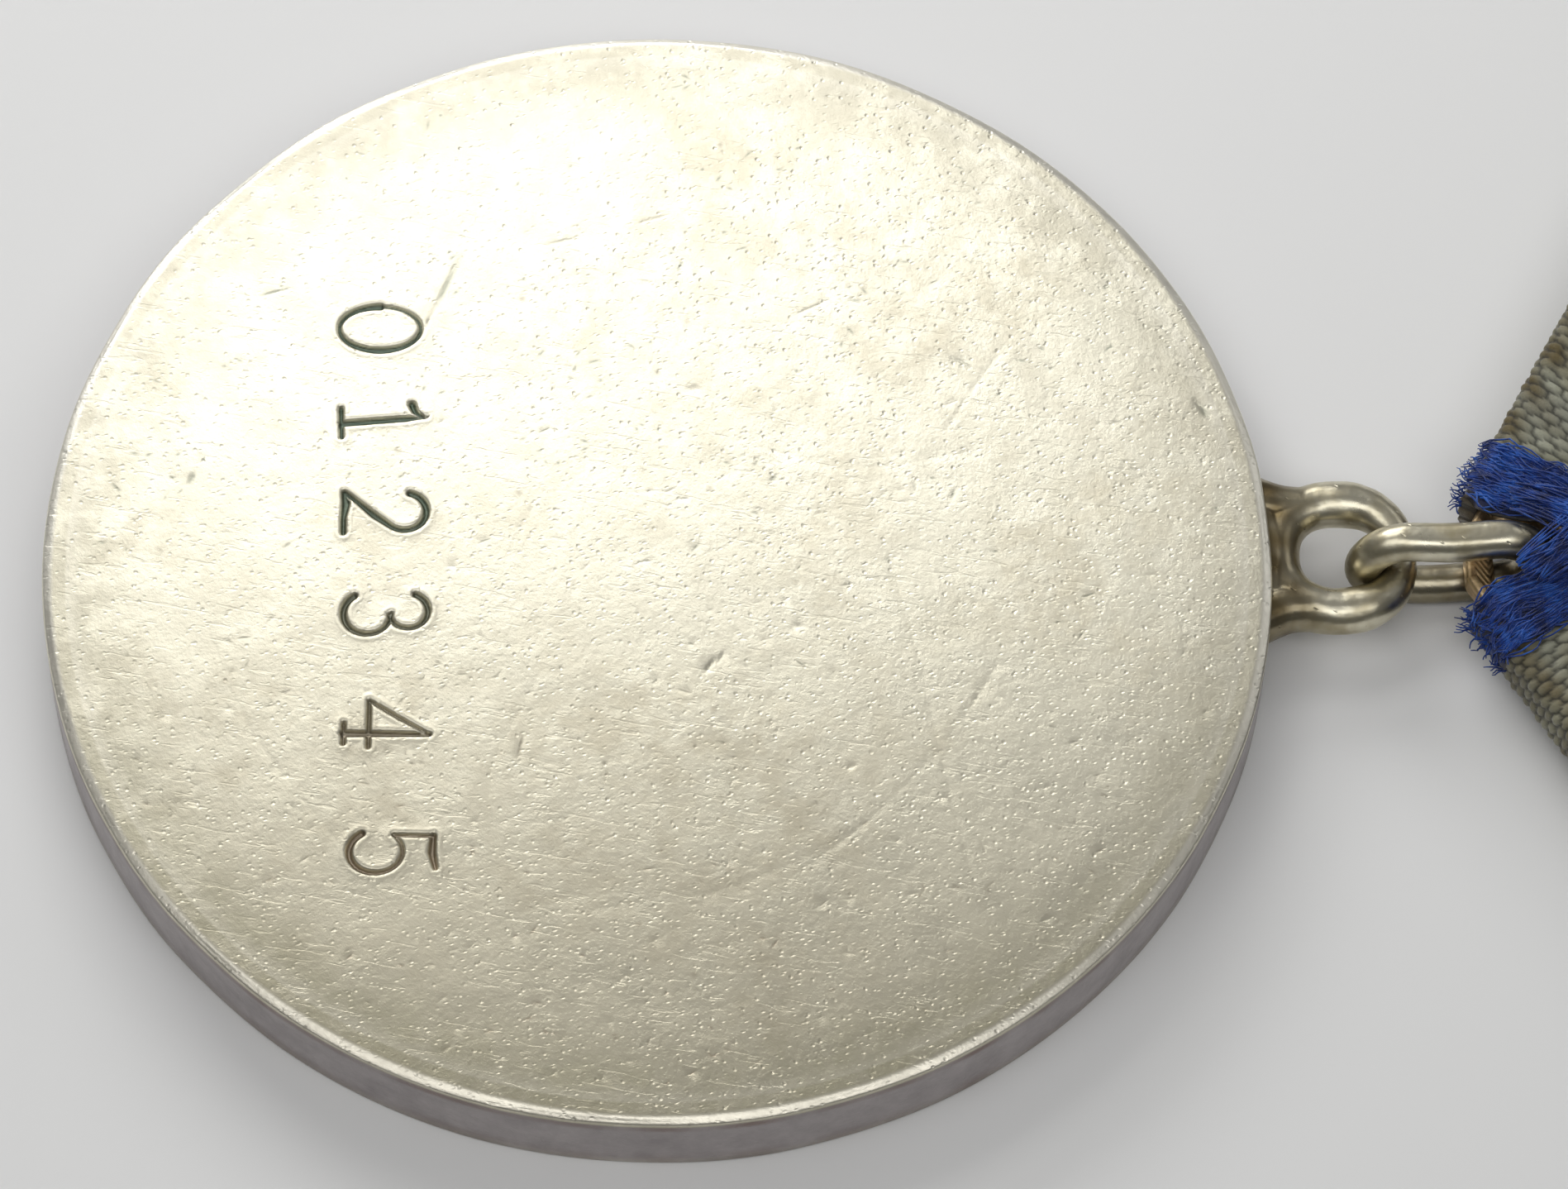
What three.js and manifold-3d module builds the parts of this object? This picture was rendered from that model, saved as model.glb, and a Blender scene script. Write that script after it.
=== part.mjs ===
// A worn silver medal on its pentagonal ribbon mount, lying face down.
// Millimetres, +Z up, +X from the medal's disc to the top of the mount.
// The mount's centre line is y = 0 and everything rests on z = 0.
import * as THREE from 'three';
import { mergeVertices } from 'three/addons/utils/BufferGeometryUtils.js';
import Module from 'manifold-3d';

const wasm = await Module();
wasm.setup();

// ---------------------------------------------------------------- driving sizes
const DISC_DIAMETER = 37;
const DISC_THICKNESS = 2.85;
const DISC_RIM_WIDTH = 1.3;
const DISC_RIM_HEIGHT = 0.45;
const DISC_EDGE_ROUND = 0.25;
const DISC_CENTRE_Y = 0.35;          // the disc hangs a little off the mount's centre line

const EYELET_LENGTH = 4.5;           // from the disc's edge to the outside of the loop
const EYELET_WIDTH = 5.1;
const EYELET_WIRE = 1.38;
const EYELET_WORN_WIRE = 1.04;       // at the end that the connecting ring has worn thin
const EYELET_Z = 1.72;
const EYELET_SQUARENESS = 2.2;       // superellipse power of the loop
const SOLDER_FOOT_WIDTH = 5.8;
const SOLDER_FOOT_DEPTH = 0.72;
const SOLDER_FOOT_HEIGHT = 1.7;

const RING_WIRE = 1.1;
const RING_LENGTH = 6.4;
const RING_HEIGHT = 3.74;
const RING_PLAY = 0.06;              // between the ring and the worn end of the eyelet

const PLATE_THICKNESS = 0.8;
const PLATE_Z = 1.77;                // middle of the plate's thickness
const PLATE_TIP_GAP = 1.4;           // from the eyelet's outside to the plate's blunt tip
const PLATE_TIP_WIDTH = 1.5;
const PLATE_BRIDGE = 0.85;           // metal between the tip and the ring's hole
const PLATE_HOLE_LENGTH = 2.2;
const PLATE_HOLE_WIDTH = 2.4;
const PLATE_HALF_WIDTH = 22.7;       // at the shoulders
const PLATE_TOP_WIDTH = 26;
const PLATE_SIDE = 39;               // each lateral side
const V_ANGLE = THREE.MathUtils.degToRad(60);    // lower sides, from the centre line

const RIBBON_WIDTH = 24;
const RIBBON_THICKNESS = 0.55;
const LAYER_GAP = 0.06;
const FOLD_ROUND = 0.5;              // outside of a fold; the inside is nearly sharp
const FOLD_ROUND_INSIDE = 0.1;
const FOLD_LAP = 0.4;                // of the fold's own solid over the layers it joins
const BAND_FLAP = 6;                 // the band's hem behind the plate's top
const LEG_ANGLE = THREE.MathUtils.degToRad(38);  // legs behind the plate, from the centre line
const LEG_LENGTH = 24;
const LEG_START = 1.0;               // along the lower side, from the blunt tip
const LEG_END = 25.2;
const RING_SLOT_HALF = 0.75;         // ribbon keeps this far from the centre line at the ring
const WING_INSET = 0.3;

const PIN_X_FROM_TIP = 38;
const PIN_HALF_SPAN = 10.5;          // from the centre line to the hinge, and to the catch
const PIN_WIRE = 0.8;
const PIN_POINT_LENGTH = 3;
const PIN_HEIGHT = 1.75;             // pin centre above the plate's back
const PIN_EYE_DIAMETER = 1.9;
const PIN_EYE_WIDTH = 1.3;
const PIN_EYE_BORE = 0.92;
const AXLE_DIAMETER = 0.8;
const AXLE_HEAD_DIAMETER = 1.3;
const AXLE_HEAD_THICKNESS = 0.35;
const LUG_GAP = 1.5;
const LUG_THICKNESS = 0.5;
const LUG_LENGTH = 1.9;
const BRACKET_PAD = 0.45;
const BRACKET_PAD_LENGTH = 4.2;
const CATCH_WIDTH = 2.4;
const CATCH_SHEET = 0.45;
const CATCH_INNER_RADIUS = 0.62;
const CATCH_PAD_HALF = 1.7;
const SOLDER_GAP = 0.05;

const WIRE_SIDES = 12;
const LOOP_STEPS = 48;
const DISC_STEPS = 96;

// ---------------------------------------------------------------- derived places
const discRadius = DISC_DIAMETER / 2;
const eyeletApex = discRadius + EYELET_LENGTH;
const wornInside = eyeletApex - EYELET_WORN_WIRE;
const ringLeft = wornInside - RING_PLAY - RING_WIRE;
const ringEndRadius = (RING_HEIGHT - RING_WIRE) / 2;
const ringZ = RING_HEIGHT / 2;
const tipX = eyeletApex + PLATE_TIP_GAP;
const tipHalf = PLATE_TIP_WIDTH / 2;
const shoulderX = tipX + (PLATE_HALF_WIDTH - tipHalf) / Math.tan(V_ANGLE);
const topHalf = PLATE_TOP_WIDTH / 2;
const topX = shoulderX + Math.sqrt(PLATE_SIDE ** 2 - (PLATE_HALF_WIDTH - topHalf) ** 2);
const plateFront = PLATE_Z - PLATE_THICKNESS / 2;
const plateBack = PLATE_Z + PLATE_THICKNESS / 2;
const wingLow = plateFront - LAYER_GAP - RIBBON_THICKNESS;
const bandLow = wingLow - LAYER_GAP - RIBBON_THICKNESS;
const legLow = plateBack + LAYER_GAP;
const upperLegLow = legLow + RIBBON_THICKNESS + LAYER_GAP;
const holeEndX = tipX + PLATE_BRIDGE + PLATE_HOLE_LENGTH;
const foldReach = LAYER_GAP + RIBBON_THICKNESS;
const pinX = tipX + PIN_X_FROM_TIP;
const pinZ = plateBack + PIN_HEIGHT;

// ---------------------------------------------------------------- materials
function material(color, roughness, metalness) {
  return new THREE.MeshStandardMaterial({ color, roughness, metalness });
}
const silver = material(0xb9b5a4, 0.35, 1);
const tonedSilver = material(0xa39e83, 0.3, 1);
const brass = material(0xa98452, 0.35, 1);
const steel = material(0x9a9a98, 0.3, 1);
const ribbonCloth = material(0x9a9c82, 0.9, 0);

// ---------------------------------------------------------------- solids
function toSolid(geometry) {
  const bare = geometry.clone();
  bare.deleteAttribute('normal');
  bare.deleteAttribute('uv');
  const merged = mergeVertices(bare, 1e-4);
  return new wasm.Manifold(new wasm.Mesh({
    numProp: 3,
    vertProperties: new Float32Array(merged.attributes.position.array),
    triVerts: new Uint32Array(merged.index.array),
  }));
}

function toGeometry(solid) {
  const mesh = solid.getMesh();
  const geometry = new THREE.BufferGeometry();
  geometry.setAttribute('position', new THREE.BufferAttribute(new Float32Array(mesh.vertProperties), 3));
  geometry.setIndex(new THREE.BufferAttribute(new Uint32Array(mesh.triVerts), 1));
  geometry.computeVertexNormals();
  return geometry;
}

function named(name, geometry, look) {
  const mesh = new THREE.Mesh(geometry, look);
  mesh.name = name;
  return mesh;
}

function box(x0, x1, y0, y1, z0, z1) {
  const geometry = new THREE.BoxGeometry(x1 - x0, y1 - y0, z1 - z0);
  return geometry.translate((x0 + x1) / 2, (y0 + y1) / 2, (z0 + z1) / 2);
}

// An outline in the XY plane, raised from z0 to z1.
function slab(points, z0, z1) {
  const outline = new THREE.Shape(points.map(([x, y]) => new THREE.Vector2(x, y)));
  const geometry = new THREE.ExtrudeGeometry(outline, { depth: z1 - z0, bevelEnabled: false });
  return geometry.translate(0, 0, z0);
}

// A closed loop of wire: centre(t) gives its centre line and radius(t) its thickness.
function wireLoop(centre, radius, steps) {
  const geometry = new THREE.TorusGeometry(2, 1, WIRE_SIDES, steps);
  const position = geometry.attributes.position;
  for (let side = 0; side <= WIRE_SIDES; side += 1) {
    for (let step = 0; step <= steps; step += 1) {
      const turn = (step % steps) / steps;
      const here = centre(turn);
      const along = centre(turn + 0.001).sub(centre(turn - 0.001)).normalize();
      const outward = new THREE.Vector3(along.y, -along.x, 0);
      const angle = ((side % WIRE_SIDES) / WIRE_SIDES) * 2 * Math.PI;
      const point = here.addScaledVector(outward, Math.cos(angle) * radius(turn));
      point.z += Math.sin(angle) * radius(turn);
      position.setXYZ(side * (steps + 1) + step, point.x, point.y, point.z);
    }
  }
  return geometry;
}

// ---------------------------------------------------------------- the medal
function discGeometry() {
  const r = discRadius;
  const c = DISC_EDGE_ROUND;
  const inside = r - DISC_RIM_WIDTH;
  const profile = [
    [0, DISC_RIM_HEIGHT],
    [inside - DISC_RIM_HEIGHT, DISC_RIM_HEIGHT],
    [inside, 0],
    [r - c, 0],
    [r - 0.3 * c, 0.3 * c],
    [r, c],
    [r, DISC_THICKNESS - c],
    [r - 0.3 * c, DISC_THICKNESS - 0.3 * c],
    [r - c, DISC_THICKNESS],
    [0, DISC_THICKNESS],
  ].map(([x, z]) => new THREE.Vector2(x, z));
  return new THREE.LatheGeometry(profile, DISC_STEPS).rotateX(Math.PI / 2);
}

// A superellipse loop, worn thin at its outer end, in a pool of solder on the disc's edge.
function eyeletGeometry() {
  const outerHalf = (EYELET_WIDTH - EYELET_WIRE) / 2;
  const apexCentre = eyeletApex - EYELET_WORN_WIRE / 2;
  const middle = apexCentre - outerHalf - 0.05;
  const power = 2 / EYELET_SQUARENESS;
  const centre = (turn) => {
    const a = turn * 2 * Math.PI;
    const x = Math.sign(Math.cos(a)) * Math.abs(Math.cos(a)) ** power * (apexCentre - middle);
    const y = Math.sign(Math.sin(a)) * Math.abs(Math.sin(a)) ** power * outerHalf;
    return new THREE.Vector3(middle + x, y, 0);
  };
  const radius = (turn) => {
    const worn = Math.max(0, Math.cos(turn * 2 * Math.PI)) ** 2;
    return (EYELET_WIRE - (EYELET_WIRE - EYELET_WORN_WIRE) * worn) / 2;
  };
  const loop = toSolid(wireLoop(centre, radius, LOOP_STEPS));
  const pool = new THREE.SphereGeometry(1, 32, 16);
  pool.scale(SOLDER_FOOT_DEPTH, SOLDER_FOOT_WIDTH / 2, SOLDER_FOOT_HEIGHT / 2);
  pool.translate(discRadius, 0, 0);
  const edge = new THREE.CylinderGeometry(discRadius + SOLDER_GAP, discRadius + SOLDER_GAP, 8, 192);
  edge.rotateX(Math.PI / 2);
  return toGeometry(loop.add(toSolid(pool)).subtract(toSolid(edge)));
}

// ---------------------------------------------------------------- the connecting ring
// An oval of wire in its own XY plane, centred on its middle, long side along X.
function ringGeometry() {
  const straight = RING_LENGTH - RING_WIRE - 2 * ringEndRadius;
  const arc = Math.PI * ringEndRadius;
  const total = 2 * (straight + arc);
  const centre = (turn) => {
    const s = (((turn % 1) + 1) % 1) * total;
    if (s < arc) {
      const a = -Math.PI / 2 + s / ringEndRadius;
      return new THREE.Vector3(straight / 2 + ringEndRadius * Math.cos(a), ringEndRadius * Math.sin(a), 0);
    }
    if (s < arc + straight) {
      return new THREE.Vector3(straight / 2 - (s - arc), ringEndRadius, 0);
    }
    if (s < 2 * arc + straight) {
      const a = Math.PI / 2 + (s - arc - straight) / ringEndRadius;
      return new THREE.Vector3(-straight / 2 + ringEndRadius * Math.cos(a), ringEndRadius * Math.sin(a), 0);
    }
    return new THREE.Vector3(-straight / 2 + (s - 2 * arc - straight), -ringEndRadius, 0);
  };
  return wireLoop(centre, () => RING_WIRE / 2, LOOP_STEPS);
}

// ---------------------------------------------------------------- the mount's plate
const plateOutline = [
  [tipX, -tipHalf],
  [shoulderX, -PLATE_HALF_WIDTH],
  [topX, -topHalf],
  [topX, topHalf],
  [shoulderX, PLATE_HALF_WIDTH],
  [tipX, tipHalf],
];

function plateGeometry() {
  const outline = new THREE.Shape(plateOutline.map(([x, y]) => new THREE.Vector2(x, y)));
  const hole = new THREE.Path();
  const start = tipX + PLATE_BRIDGE;
  const half = PLATE_HOLE_WIDTH / 2;
  const round = 0.5;
  hole.moveTo(start, -half + round);
  hole.absarc(start + round, half - round, round, Math.PI, Math.PI / 2, true);
  hole.lineTo(holeEndX - round, half);
  hole.absarc(holeEndX - round, half - round, round, Math.PI / 2, 0, true);
  hole.absarc(holeEndX - round, -half + round, round, 0, -Math.PI / 2, true);
  hole.absarc(start + round, -half + round, round, -Math.PI / 2, -Math.PI, true);
  outline.holes.push(hole);
  const options = { depth: PLATE_THICKNESS, bevelEnabled: false, curveSegments: 4 };
  return new THREE.ExtrudeGeometry(outline, options).translate(0, 0, plateFront);
}

// ---------------------------------------------------------------- the ribbon
// A strip of ribbon bent round a plate's edge, as an outline: it comes from u = -reach along
// low, turns up close to the edge at u = 0, and goes back along high.
function foldOutline(low, high, reach) {
  const outline = new THREE.Shape();
  const corner = foldReach - FOLD_ROUND;
  const inner = LAYER_GAP - FOLD_ROUND_INSIDE;
  const [innerLow, innerHigh] = [low + RIBBON_THICKNESS, high - RIBBON_THICKNESS];
  outline.moveTo(-reach, low);
  outline.absarc(corner, low + FOLD_ROUND, FOLD_ROUND, -Math.PI / 2, 0, false);
  outline.absarc(corner, high - FOLD_ROUND, FOLD_ROUND, 0, Math.PI / 2, false);
  outline.lineTo(-reach, high);
  outline.lineTo(-reach, innerHigh);
  outline.absarc(inner, innerHigh - FOLD_ROUND_INSIDE, FOLD_ROUND_INSIDE, Math.PI / 2, 0, true);
  outline.absarc(inner, innerLow + FOLD_ROUND_INSIDE, FOLD_ROUND_INSIDE, 0, -Math.PI / 2, true);
  outline.lineTo(-reach, innerLow);
  return outline;
}

// The front's centre band, pointed below, hemmed over the plate's top edge.
function bandGeometry() {
  const low = bandLow;
  const high = legLow + RIBBON_THICKNESS;
  const half = RIBBON_WIDTH / 2;
  const options = { depth: RIBBON_WIDTH, bevelEnabled: false, curveSegments: 5 };
  const hem = new THREE.ExtrudeGeometry(foldOutline(low, high, BAND_FLAP), options);
  hem.rotateX(Math.PI / 2).translate(topX, half, 0);
  const lowerX = (y) => tipX + (y - tipHalf) / Math.tan(V_ANGLE) + LAYER_GAP;
  const front = slab([
    [holeEndX, -RING_SLOT_HALF * 1.6],
    [lowerX(half), -half],
    [topX - BAND_FLAP + 1, -half],
    [topX - BAND_FLAP + 1, half],
    [lowerX(half), half],
    [holeEndX, RING_SLOT_HALF * 1.6],
  ], low, low + RIBBON_THICKNESS);
  return toGeometry(toSolid(hem).add(toSolid(front)));
}

// One wing: up the front beside the centre line, round the lower side, and a leg behind
// that crosses the other wing's leg. side is 1 or -1, and legZ its leg's lower face.
function wingGeometry(side, legZ) {
  const mirror = (points) => points.map(([x, y]) => [x, side * y]);
  const along = [Math.cos(V_ANGLE), Math.sin(V_ANGLE)];
  const onEdge = (s) => [tipX + s * along[0], tipHalf + s * along[1]];
  const first = onEdge(LEG_START);
  const last = onEdge(LEG_END);
  const leg = [Math.cos(LEG_ANGLE), -Math.sin(LEG_ANGLE)];
  const behind = (point, length) => [point[0] + length * leg[0], point[1] + length * leg[1]];
  const slotEnd = [holeEndX, RING_SLOT_HALF];
  const front = slab(mirror([
    first,
    [holeEndX, RING_SLOT_HALF * 1.6],
    [holeEndX, WING_INSET],
    [topX - LAYER_GAP, WING_INSET],
    [topX - LAYER_GAP, topHalf],
    [shoulderX, PLATE_HALF_WIDTH],
    last,
  ]), wingLow, wingLow + RIBBON_THICKNESS);
  const back = slab(mirror([
    first,
    slotEnd,
    behind(slotEnd, LEG_LENGTH - 3),
    behind(last, LEG_LENGTH),
    last,
  ]), legZ, legZ + RIBBON_THICKNESS);
  const outline = foldOutline(wingLow, legZ + RIBBON_THICKNESS, FOLD_LAP);
  const length = LEG_END - LEG_START;
  const options = { depth: length, bevelEnabled: false, curveSegments: 5 };
  const fold = new THREE.ExtrudeGeometry(outline, options);
  fold.rotateX(Math.PI / 2).translate(0, length, 0);
  // The fold's outline looks out of the lower side, and its length runs along that side.
  const turn = new THREE.Matrix4().makeBasis(
    new THREE.Vector3(-along[1], side * along[0], 0),
    new THREE.Vector3(along[0], side * along[1], 0),
    new THREE.Vector3(0, 0, 1),
  );
  turn.setPosition(first[0], side * first[1], 0);
  fold.applyMatrix4(turn);
  if (turn.determinant() < 0) {
    flipFaces(fold);
  }
  return toGeometry(toSolid(front).add(toSolid(back)).add(toSolid(fold)));
}

function flipFaces(geometry) {
  const position = geometry.attributes.position;
  for (let i = 0; i < position.count; i += 3) {
    const second = new THREE.Vector3().fromBufferAttribute(position, i + 1);
    const third = new THREE.Vector3().fromBufferAttribute(position, i + 2);
    position.setXYZ(i + 1, third.x, third.y, third.z);
    position.setXYZ(i + 2, second.x, second.y, second.z);
  }
}

// ---------------------------------------------------------------- the brooch pin
function cylinderAlongX(radius, length, sides) {
  return new THREE.CylinderGeometry(radius, radius, length, sides).rotateZ(Math.PI / 2);
}

// Two lugs on a pad, at the pin's hinge. The axle's centre is the local origin.
function bracketGeometry() {
  const padTop = -PIN_HEIGHT + SOLDER_GAP + BRACKET_PAD;
  const outer = LUG_GAP / 2 + LUG_THICKNESS;
  let solid = toSolid(box(-outer, outer, -LUG_LENGTH / 2, BRACKET_PAD_LENGTH - LUG_LENGTH / 2,
    padTop - BRACKET_PAD, padTop));
  for (const side of [-1, 1]) {
    const inside = side * LUG_GAP / 2;
    const outside = side * outer;
    const [x0, x1] = [Math.min(inside, outside), Math.max(inside, outside)];
    const post = box(x0, x1, -LUG_LENGTH / 2, LUG_LENGTH / 2, padTop - 0.1, 0);
    const ear = cylinderAlongX(LUG_LENGTH / 2, LUG_THICKNESS, 24).translate((x0 + x1) / 2, 0, 0);
    solid = solid.add(toSolid(post)).add(toSolid(ear));
  }
  const bore = cylinderAlongX(PIN_EYE_BORE / 2, 4 * outer, 24);
  return toGeometry(solid.subtract(toSolid(bore)));
}

function axleGeometry() {
  const outer = LUG_GAP / 2 + LUG_THICKNESS + SOLDER_GAP;
  const headRadius = AXLE_HEAD_DIAMETER / 2;
  const rod = AXLE_DIAMETER / 2;
  const end = outer + AXLE_HEAD_THICKNESS;
  const profile = [
    [0, -end], [headRadius * 0.7, -end], [headRadius, -outer - 0.1], [headRadius, -outer],
    [rod, -outer], [rod, outer],
    [headRadius, outer], [headRadius, outer + 0.1], [headRadius * 0.7, end], [0, end],
  ].map(([x, y]) => new THREE.Vector2(x, y));
  return new THREE.LatheGeometry(profile, 20).rotateZ(Math.PI / 2);
}

// The steel wire, along -Y from its eye to its point.
function needleGeometry() {
  const eye = cylinderAlongX(PIN_EYE_DIAMETER / 2, PIN_EYE_WIDTH, 24);
  const wire = PIN_WIRE / 2;
  const length = 2 * PIN_HALF_SPAN + 1.5;
  const profile = [
    [0, 0], [wire, 0], [wire, length - PIN_POINT_LENGTH], [wire * 0.65, length - PIN_POINT_LENGTH / 2],
    [wire * 0.12, length - 0.05], [0, length],
  ].map(([x, y]) => new THREE.Vector2(x, y));
  const shaft = new THREE.LatheGeometry(profile, WIRE_SIDES).rotateX(Math.PI);
  shaft.translate(0, -PIN_EYE_DIAMETER / 2 + 0.2, 0);
  const bore = cylinderAlongX(PIN_EYE_BORE / 2, 4 * PIN_EYE_WIDTH, 24);
  return toGeometry(toSolid(eye).add(toSolid(shaft)).subtract(toSolid(bore)));
}

// A curled strip on a pad: a hook that is open above, so the pin lifts straight out.
function catchGeometry() {
  const inner = CATCH_INNER_RADIUS;
  const outer = inner + CATCH_SHEET;
  const from = THREE.MathUtils.degToRad(-170);
  const to = THREE.MathUtils.degToRad(42);
  const hook = new THREE.Shape();
  hook.absarc(0, 0, outer, from, to, false);
  hook.absarc(0, 0, inner, to, from, true);
  const options = { depth: CATCH_WIDTH, bevelEnabled: false, curveSegments: 14 };
  const curl = new THREE.ExtrudeGeometry(hook, options);
  curl.rotateX(Math.PI / 2).translate(0, CATCH_WIDTH / 2, 0);
  const floor = -PIN_HEIGHT + SOLDER_GAP;
  const half = CATCH_WIDTH / 2;
  const pad = box(-CATCH_PAD_HALF, CATCH_PAD_HALF, -half, half, floor, floor + CATCH_SHEET);
  const stem = box(-0.3, 0.3, -half, half, floor + 0.1, -inner - 0.1);
  return toGeometry(toSolid(curl).add(toSolid(pad)).add(toSolid(stem)));
}

// ---------------------------------------------------------------- assembly
const medal = new THREE.Group();
medal.position.set(0, DISC_CENTRE_Y, 0);
const eyelet = named('eyelet', eyeletGeometry(), tonedSilver);
eyelet.position.z = EYELET_Z;
medal.add(named('medal_disc', discGeometry(), silver), eyelet);

const ring = named('connecting_ring', ringGeometry(), tonedSilver);
ring.rotation.x = Math.PI / 2;
ring.position.set(ringLeft + RING_LENGTH / 2, 0, ringZ);

const pinHinge = new THREE.Group();
pinHinge.position.set(pinX, PIN_HALF_SPAN, pinZ);
const needle = named('pin_needle', needleGeometry(), steel);
pinHinge.add(
  named('pin_bracket', bracketGeometry(), brass),
  named('pin_axle', axleGeometry(), steel),
  needle,
);
const pinCatch = named('pin_catch', catchGeometry(), brass);
pinCatch.position.set(pinX, -PIN_HALF_SPAN, pinZ);

const mount = new THREE.Group();
mount.add(
  named('mount_plate', plateGeometry(), brass),
  named('ribbon_band', bandGeometry(), ribbonCloth),
  named('ribbon_wing_left', wingGeometry(1, upperLegLow), ribbonCloth),
  named('ribbon_wing_right', wingGeometry(-1, legLow), ribbonCloth),
  pinHinge,
  pinCatch,
);

// The origin is under the middle of the whole length.
const wholeEnd = topX + foldReach;
const group = new THREE.Group();
group.add(medal, ring, mount);
group.position.x = -(wholeEnd - discRadius) / 2;

export default group;
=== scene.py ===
import math

import bpy
import numpy as np
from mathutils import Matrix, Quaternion, Vector
from mathutils.geometry import delaunay_2d_cdt


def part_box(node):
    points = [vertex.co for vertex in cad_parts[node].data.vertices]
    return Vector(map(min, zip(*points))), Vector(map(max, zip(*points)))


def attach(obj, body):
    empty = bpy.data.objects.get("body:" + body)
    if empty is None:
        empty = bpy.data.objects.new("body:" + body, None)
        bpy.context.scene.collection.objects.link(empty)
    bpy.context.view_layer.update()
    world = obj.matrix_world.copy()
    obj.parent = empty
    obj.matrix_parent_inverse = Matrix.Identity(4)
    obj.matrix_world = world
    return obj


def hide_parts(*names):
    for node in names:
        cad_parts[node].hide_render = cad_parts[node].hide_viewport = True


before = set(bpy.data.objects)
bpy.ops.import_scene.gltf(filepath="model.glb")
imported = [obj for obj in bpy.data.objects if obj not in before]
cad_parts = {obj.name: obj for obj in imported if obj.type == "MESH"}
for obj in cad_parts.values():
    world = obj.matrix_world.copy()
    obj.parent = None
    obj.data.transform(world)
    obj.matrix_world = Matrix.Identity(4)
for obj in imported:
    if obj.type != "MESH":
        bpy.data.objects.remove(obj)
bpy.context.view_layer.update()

# Meshes are built in millimetres and scaled to metres at the end.
MM = 0.001
TINY = 1e-9
SLIVER = 1e-5       # least doubled area of a triangle that is kept, in square millimetres
WAVES = 7           # sine waves in one sum of smooth noise


def box_mm(node):
    low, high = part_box(node)
    return np.array(low) / MM, np.array(high) / MM


# ---------------------------------------------------------------- places from the frame
DISC_LOW, DISC_HIGH = box_mm("medal_disc")
RING_LOW, RING_HIGH = box_mm("connecting_ring")
EYELET_LOW, EYELET_HIGH = box_mm("eyelet")
PLATE_LOW, PLATE_HIGH = box_mm("mount_plate")
BAND_LOW, BAND_HIGH = box_mm("ribbon_band")
LEFT_LOW, LEFT_HIGH = box_mm("ribbon_wing_left")
RIGHT_LOW, RIGHT_HIGH = box_mm("ribbon_wing_right")

DISC_CENTRE = (DISC_LOW[:2] + DISC_HIGH[:2]) / 2
DISC_RADIUS = (DISC_HIGH[0] - DISC_LOW[0]) / 2
DISC_THICKNESS = DISC_HIGH[2]

# sizes of the design that the frame's boxes don't give, in millimetres and degrees
TIP_HALF = 0.75
BRIDGE = 0.85
HOLE_LENGTH = 2.2
HOLE_WIDTH = 2.4
TOP_HALF = 13.0
V_ANGLE = math.radians(60)
LEG_ANGLE = math.radians(38)
LEG_LENGTH = 24.0
LEG_START = 1.0
LEG_END = 25.2
RIBBON_WIDTH = 24.0
RIBBON_THICKNESS = 0.55
LAYER_GAP = 0.06
FOLD_ROUND = 0.5
FOLD_REACH = LAYER_GAP + RIBBON_THICKNESS
BAND_FLAP = 6.0
WING_INSET = 0.3
DISC_RIM_WIDTH = 1.3
DISC_RIM_HEIGHT = 0.45

TIP_X = PLATE_LOW[0]
TOP_X = PLATE_HIGH[0]
SHOULDER_Y = PLATE_HIGH[1]
SHOULDER_X = TIP_X + (SHOULDER_Y - TIP_HALF) / math.tan(V_ANGLE)
HOLE_END_X = TIP_X + BRIDGE + HOLE_LENGTH
SIDE_ANGLE = math.atan2(SHOULDER_Y - TOP_HALF, TOP_X - SHOULDER_X)

# camera
LENS = 180.0
AIM = Vector((3.846, 0.222, 0.0))
DISTANCE = 238.5
ELEVATION = math.radians(62.3)
AZIMUTH = math.radians(-3.94)
ROLL = math.radians(1.745)

# lights: sizes in millimetres
KEY_DISTANCE = 75
KEY_WAY = np.array([-0.034, 0.465, 0.885])
KEY_SPOT = (-3, 9.5)            # the brightest place, from the disc's centre
KEY_SIZE = (60, 21)
KEY_TURN = math.radians(13)
KEY_RADIANCE = 2.62
OVERHEAD_PLACE = (-15, -105, 240)
OVERHEAD_SIZE = (400, 120)
OVERHEAD_RADIANCE = 1.8
WINDOW_PLACE = (-80, 190, 110)
WINDOW_SIZE = (160, 80)
WINDOW_RADIANCE = 5.0
SIDE_PLACE = (150, 101, 126)
SIDE_SIZE = (110, 60)
SIDE_RADIANCE = 1.1
WORLD_DARK = 0.10
WORLD_LIGHT = 0.24


# ---------------------------------------------------------------- mesh helpers
def smoothstep(value, low=0.0, high=1.0):
    t = np.clip((np.asarray(value, float) - low) / (high - low), 0, 1)
    return t * t * (3 - 2 * t)


def lumps(points, wavelength, seed):
    """Smooth noise from -1 to 1, as a sum of sine waves with seeded directions."""
    rng = np.random.default_rng(seed)
    points = np.asarray(points, float)
    total = np.zeros(len(points))
    for _ in range(WAVES):
        direction = rng.normal(size=points.shape[1])
        direction /= np.linalg.norm(direction)
        rate = 2 * math.pi / (wavelength * rng.uniform(0.7, 1.5))
        total += np.sin(points @ direction * rate + rng.uniform(0, 2 * math.pi))
    return total / math.sqrt(WAVES) / 1.6


def new_object(name, points, faces, attributes=None):
    """A mesh object from points in millimetres."""
    mesh = bpy.data.meshes.new(name)
    mesh.from_pydata((np.asarray(points, float) * MM).tolist(), [], faces)
    mesh.validate()
    mesh.shade_smooth()
    for key, values in (attributes or {}).items():
        layer = mesh.attributes.new(key, "FLOAT", "POINT")
        layer.data.foreach_set("value", np.asarray(values, np.float32).ravel())
    obj = bpy.data.objects.new(name, mesh)
    bpy.context.scene.collection.objects.link(obj)
    return obj


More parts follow.
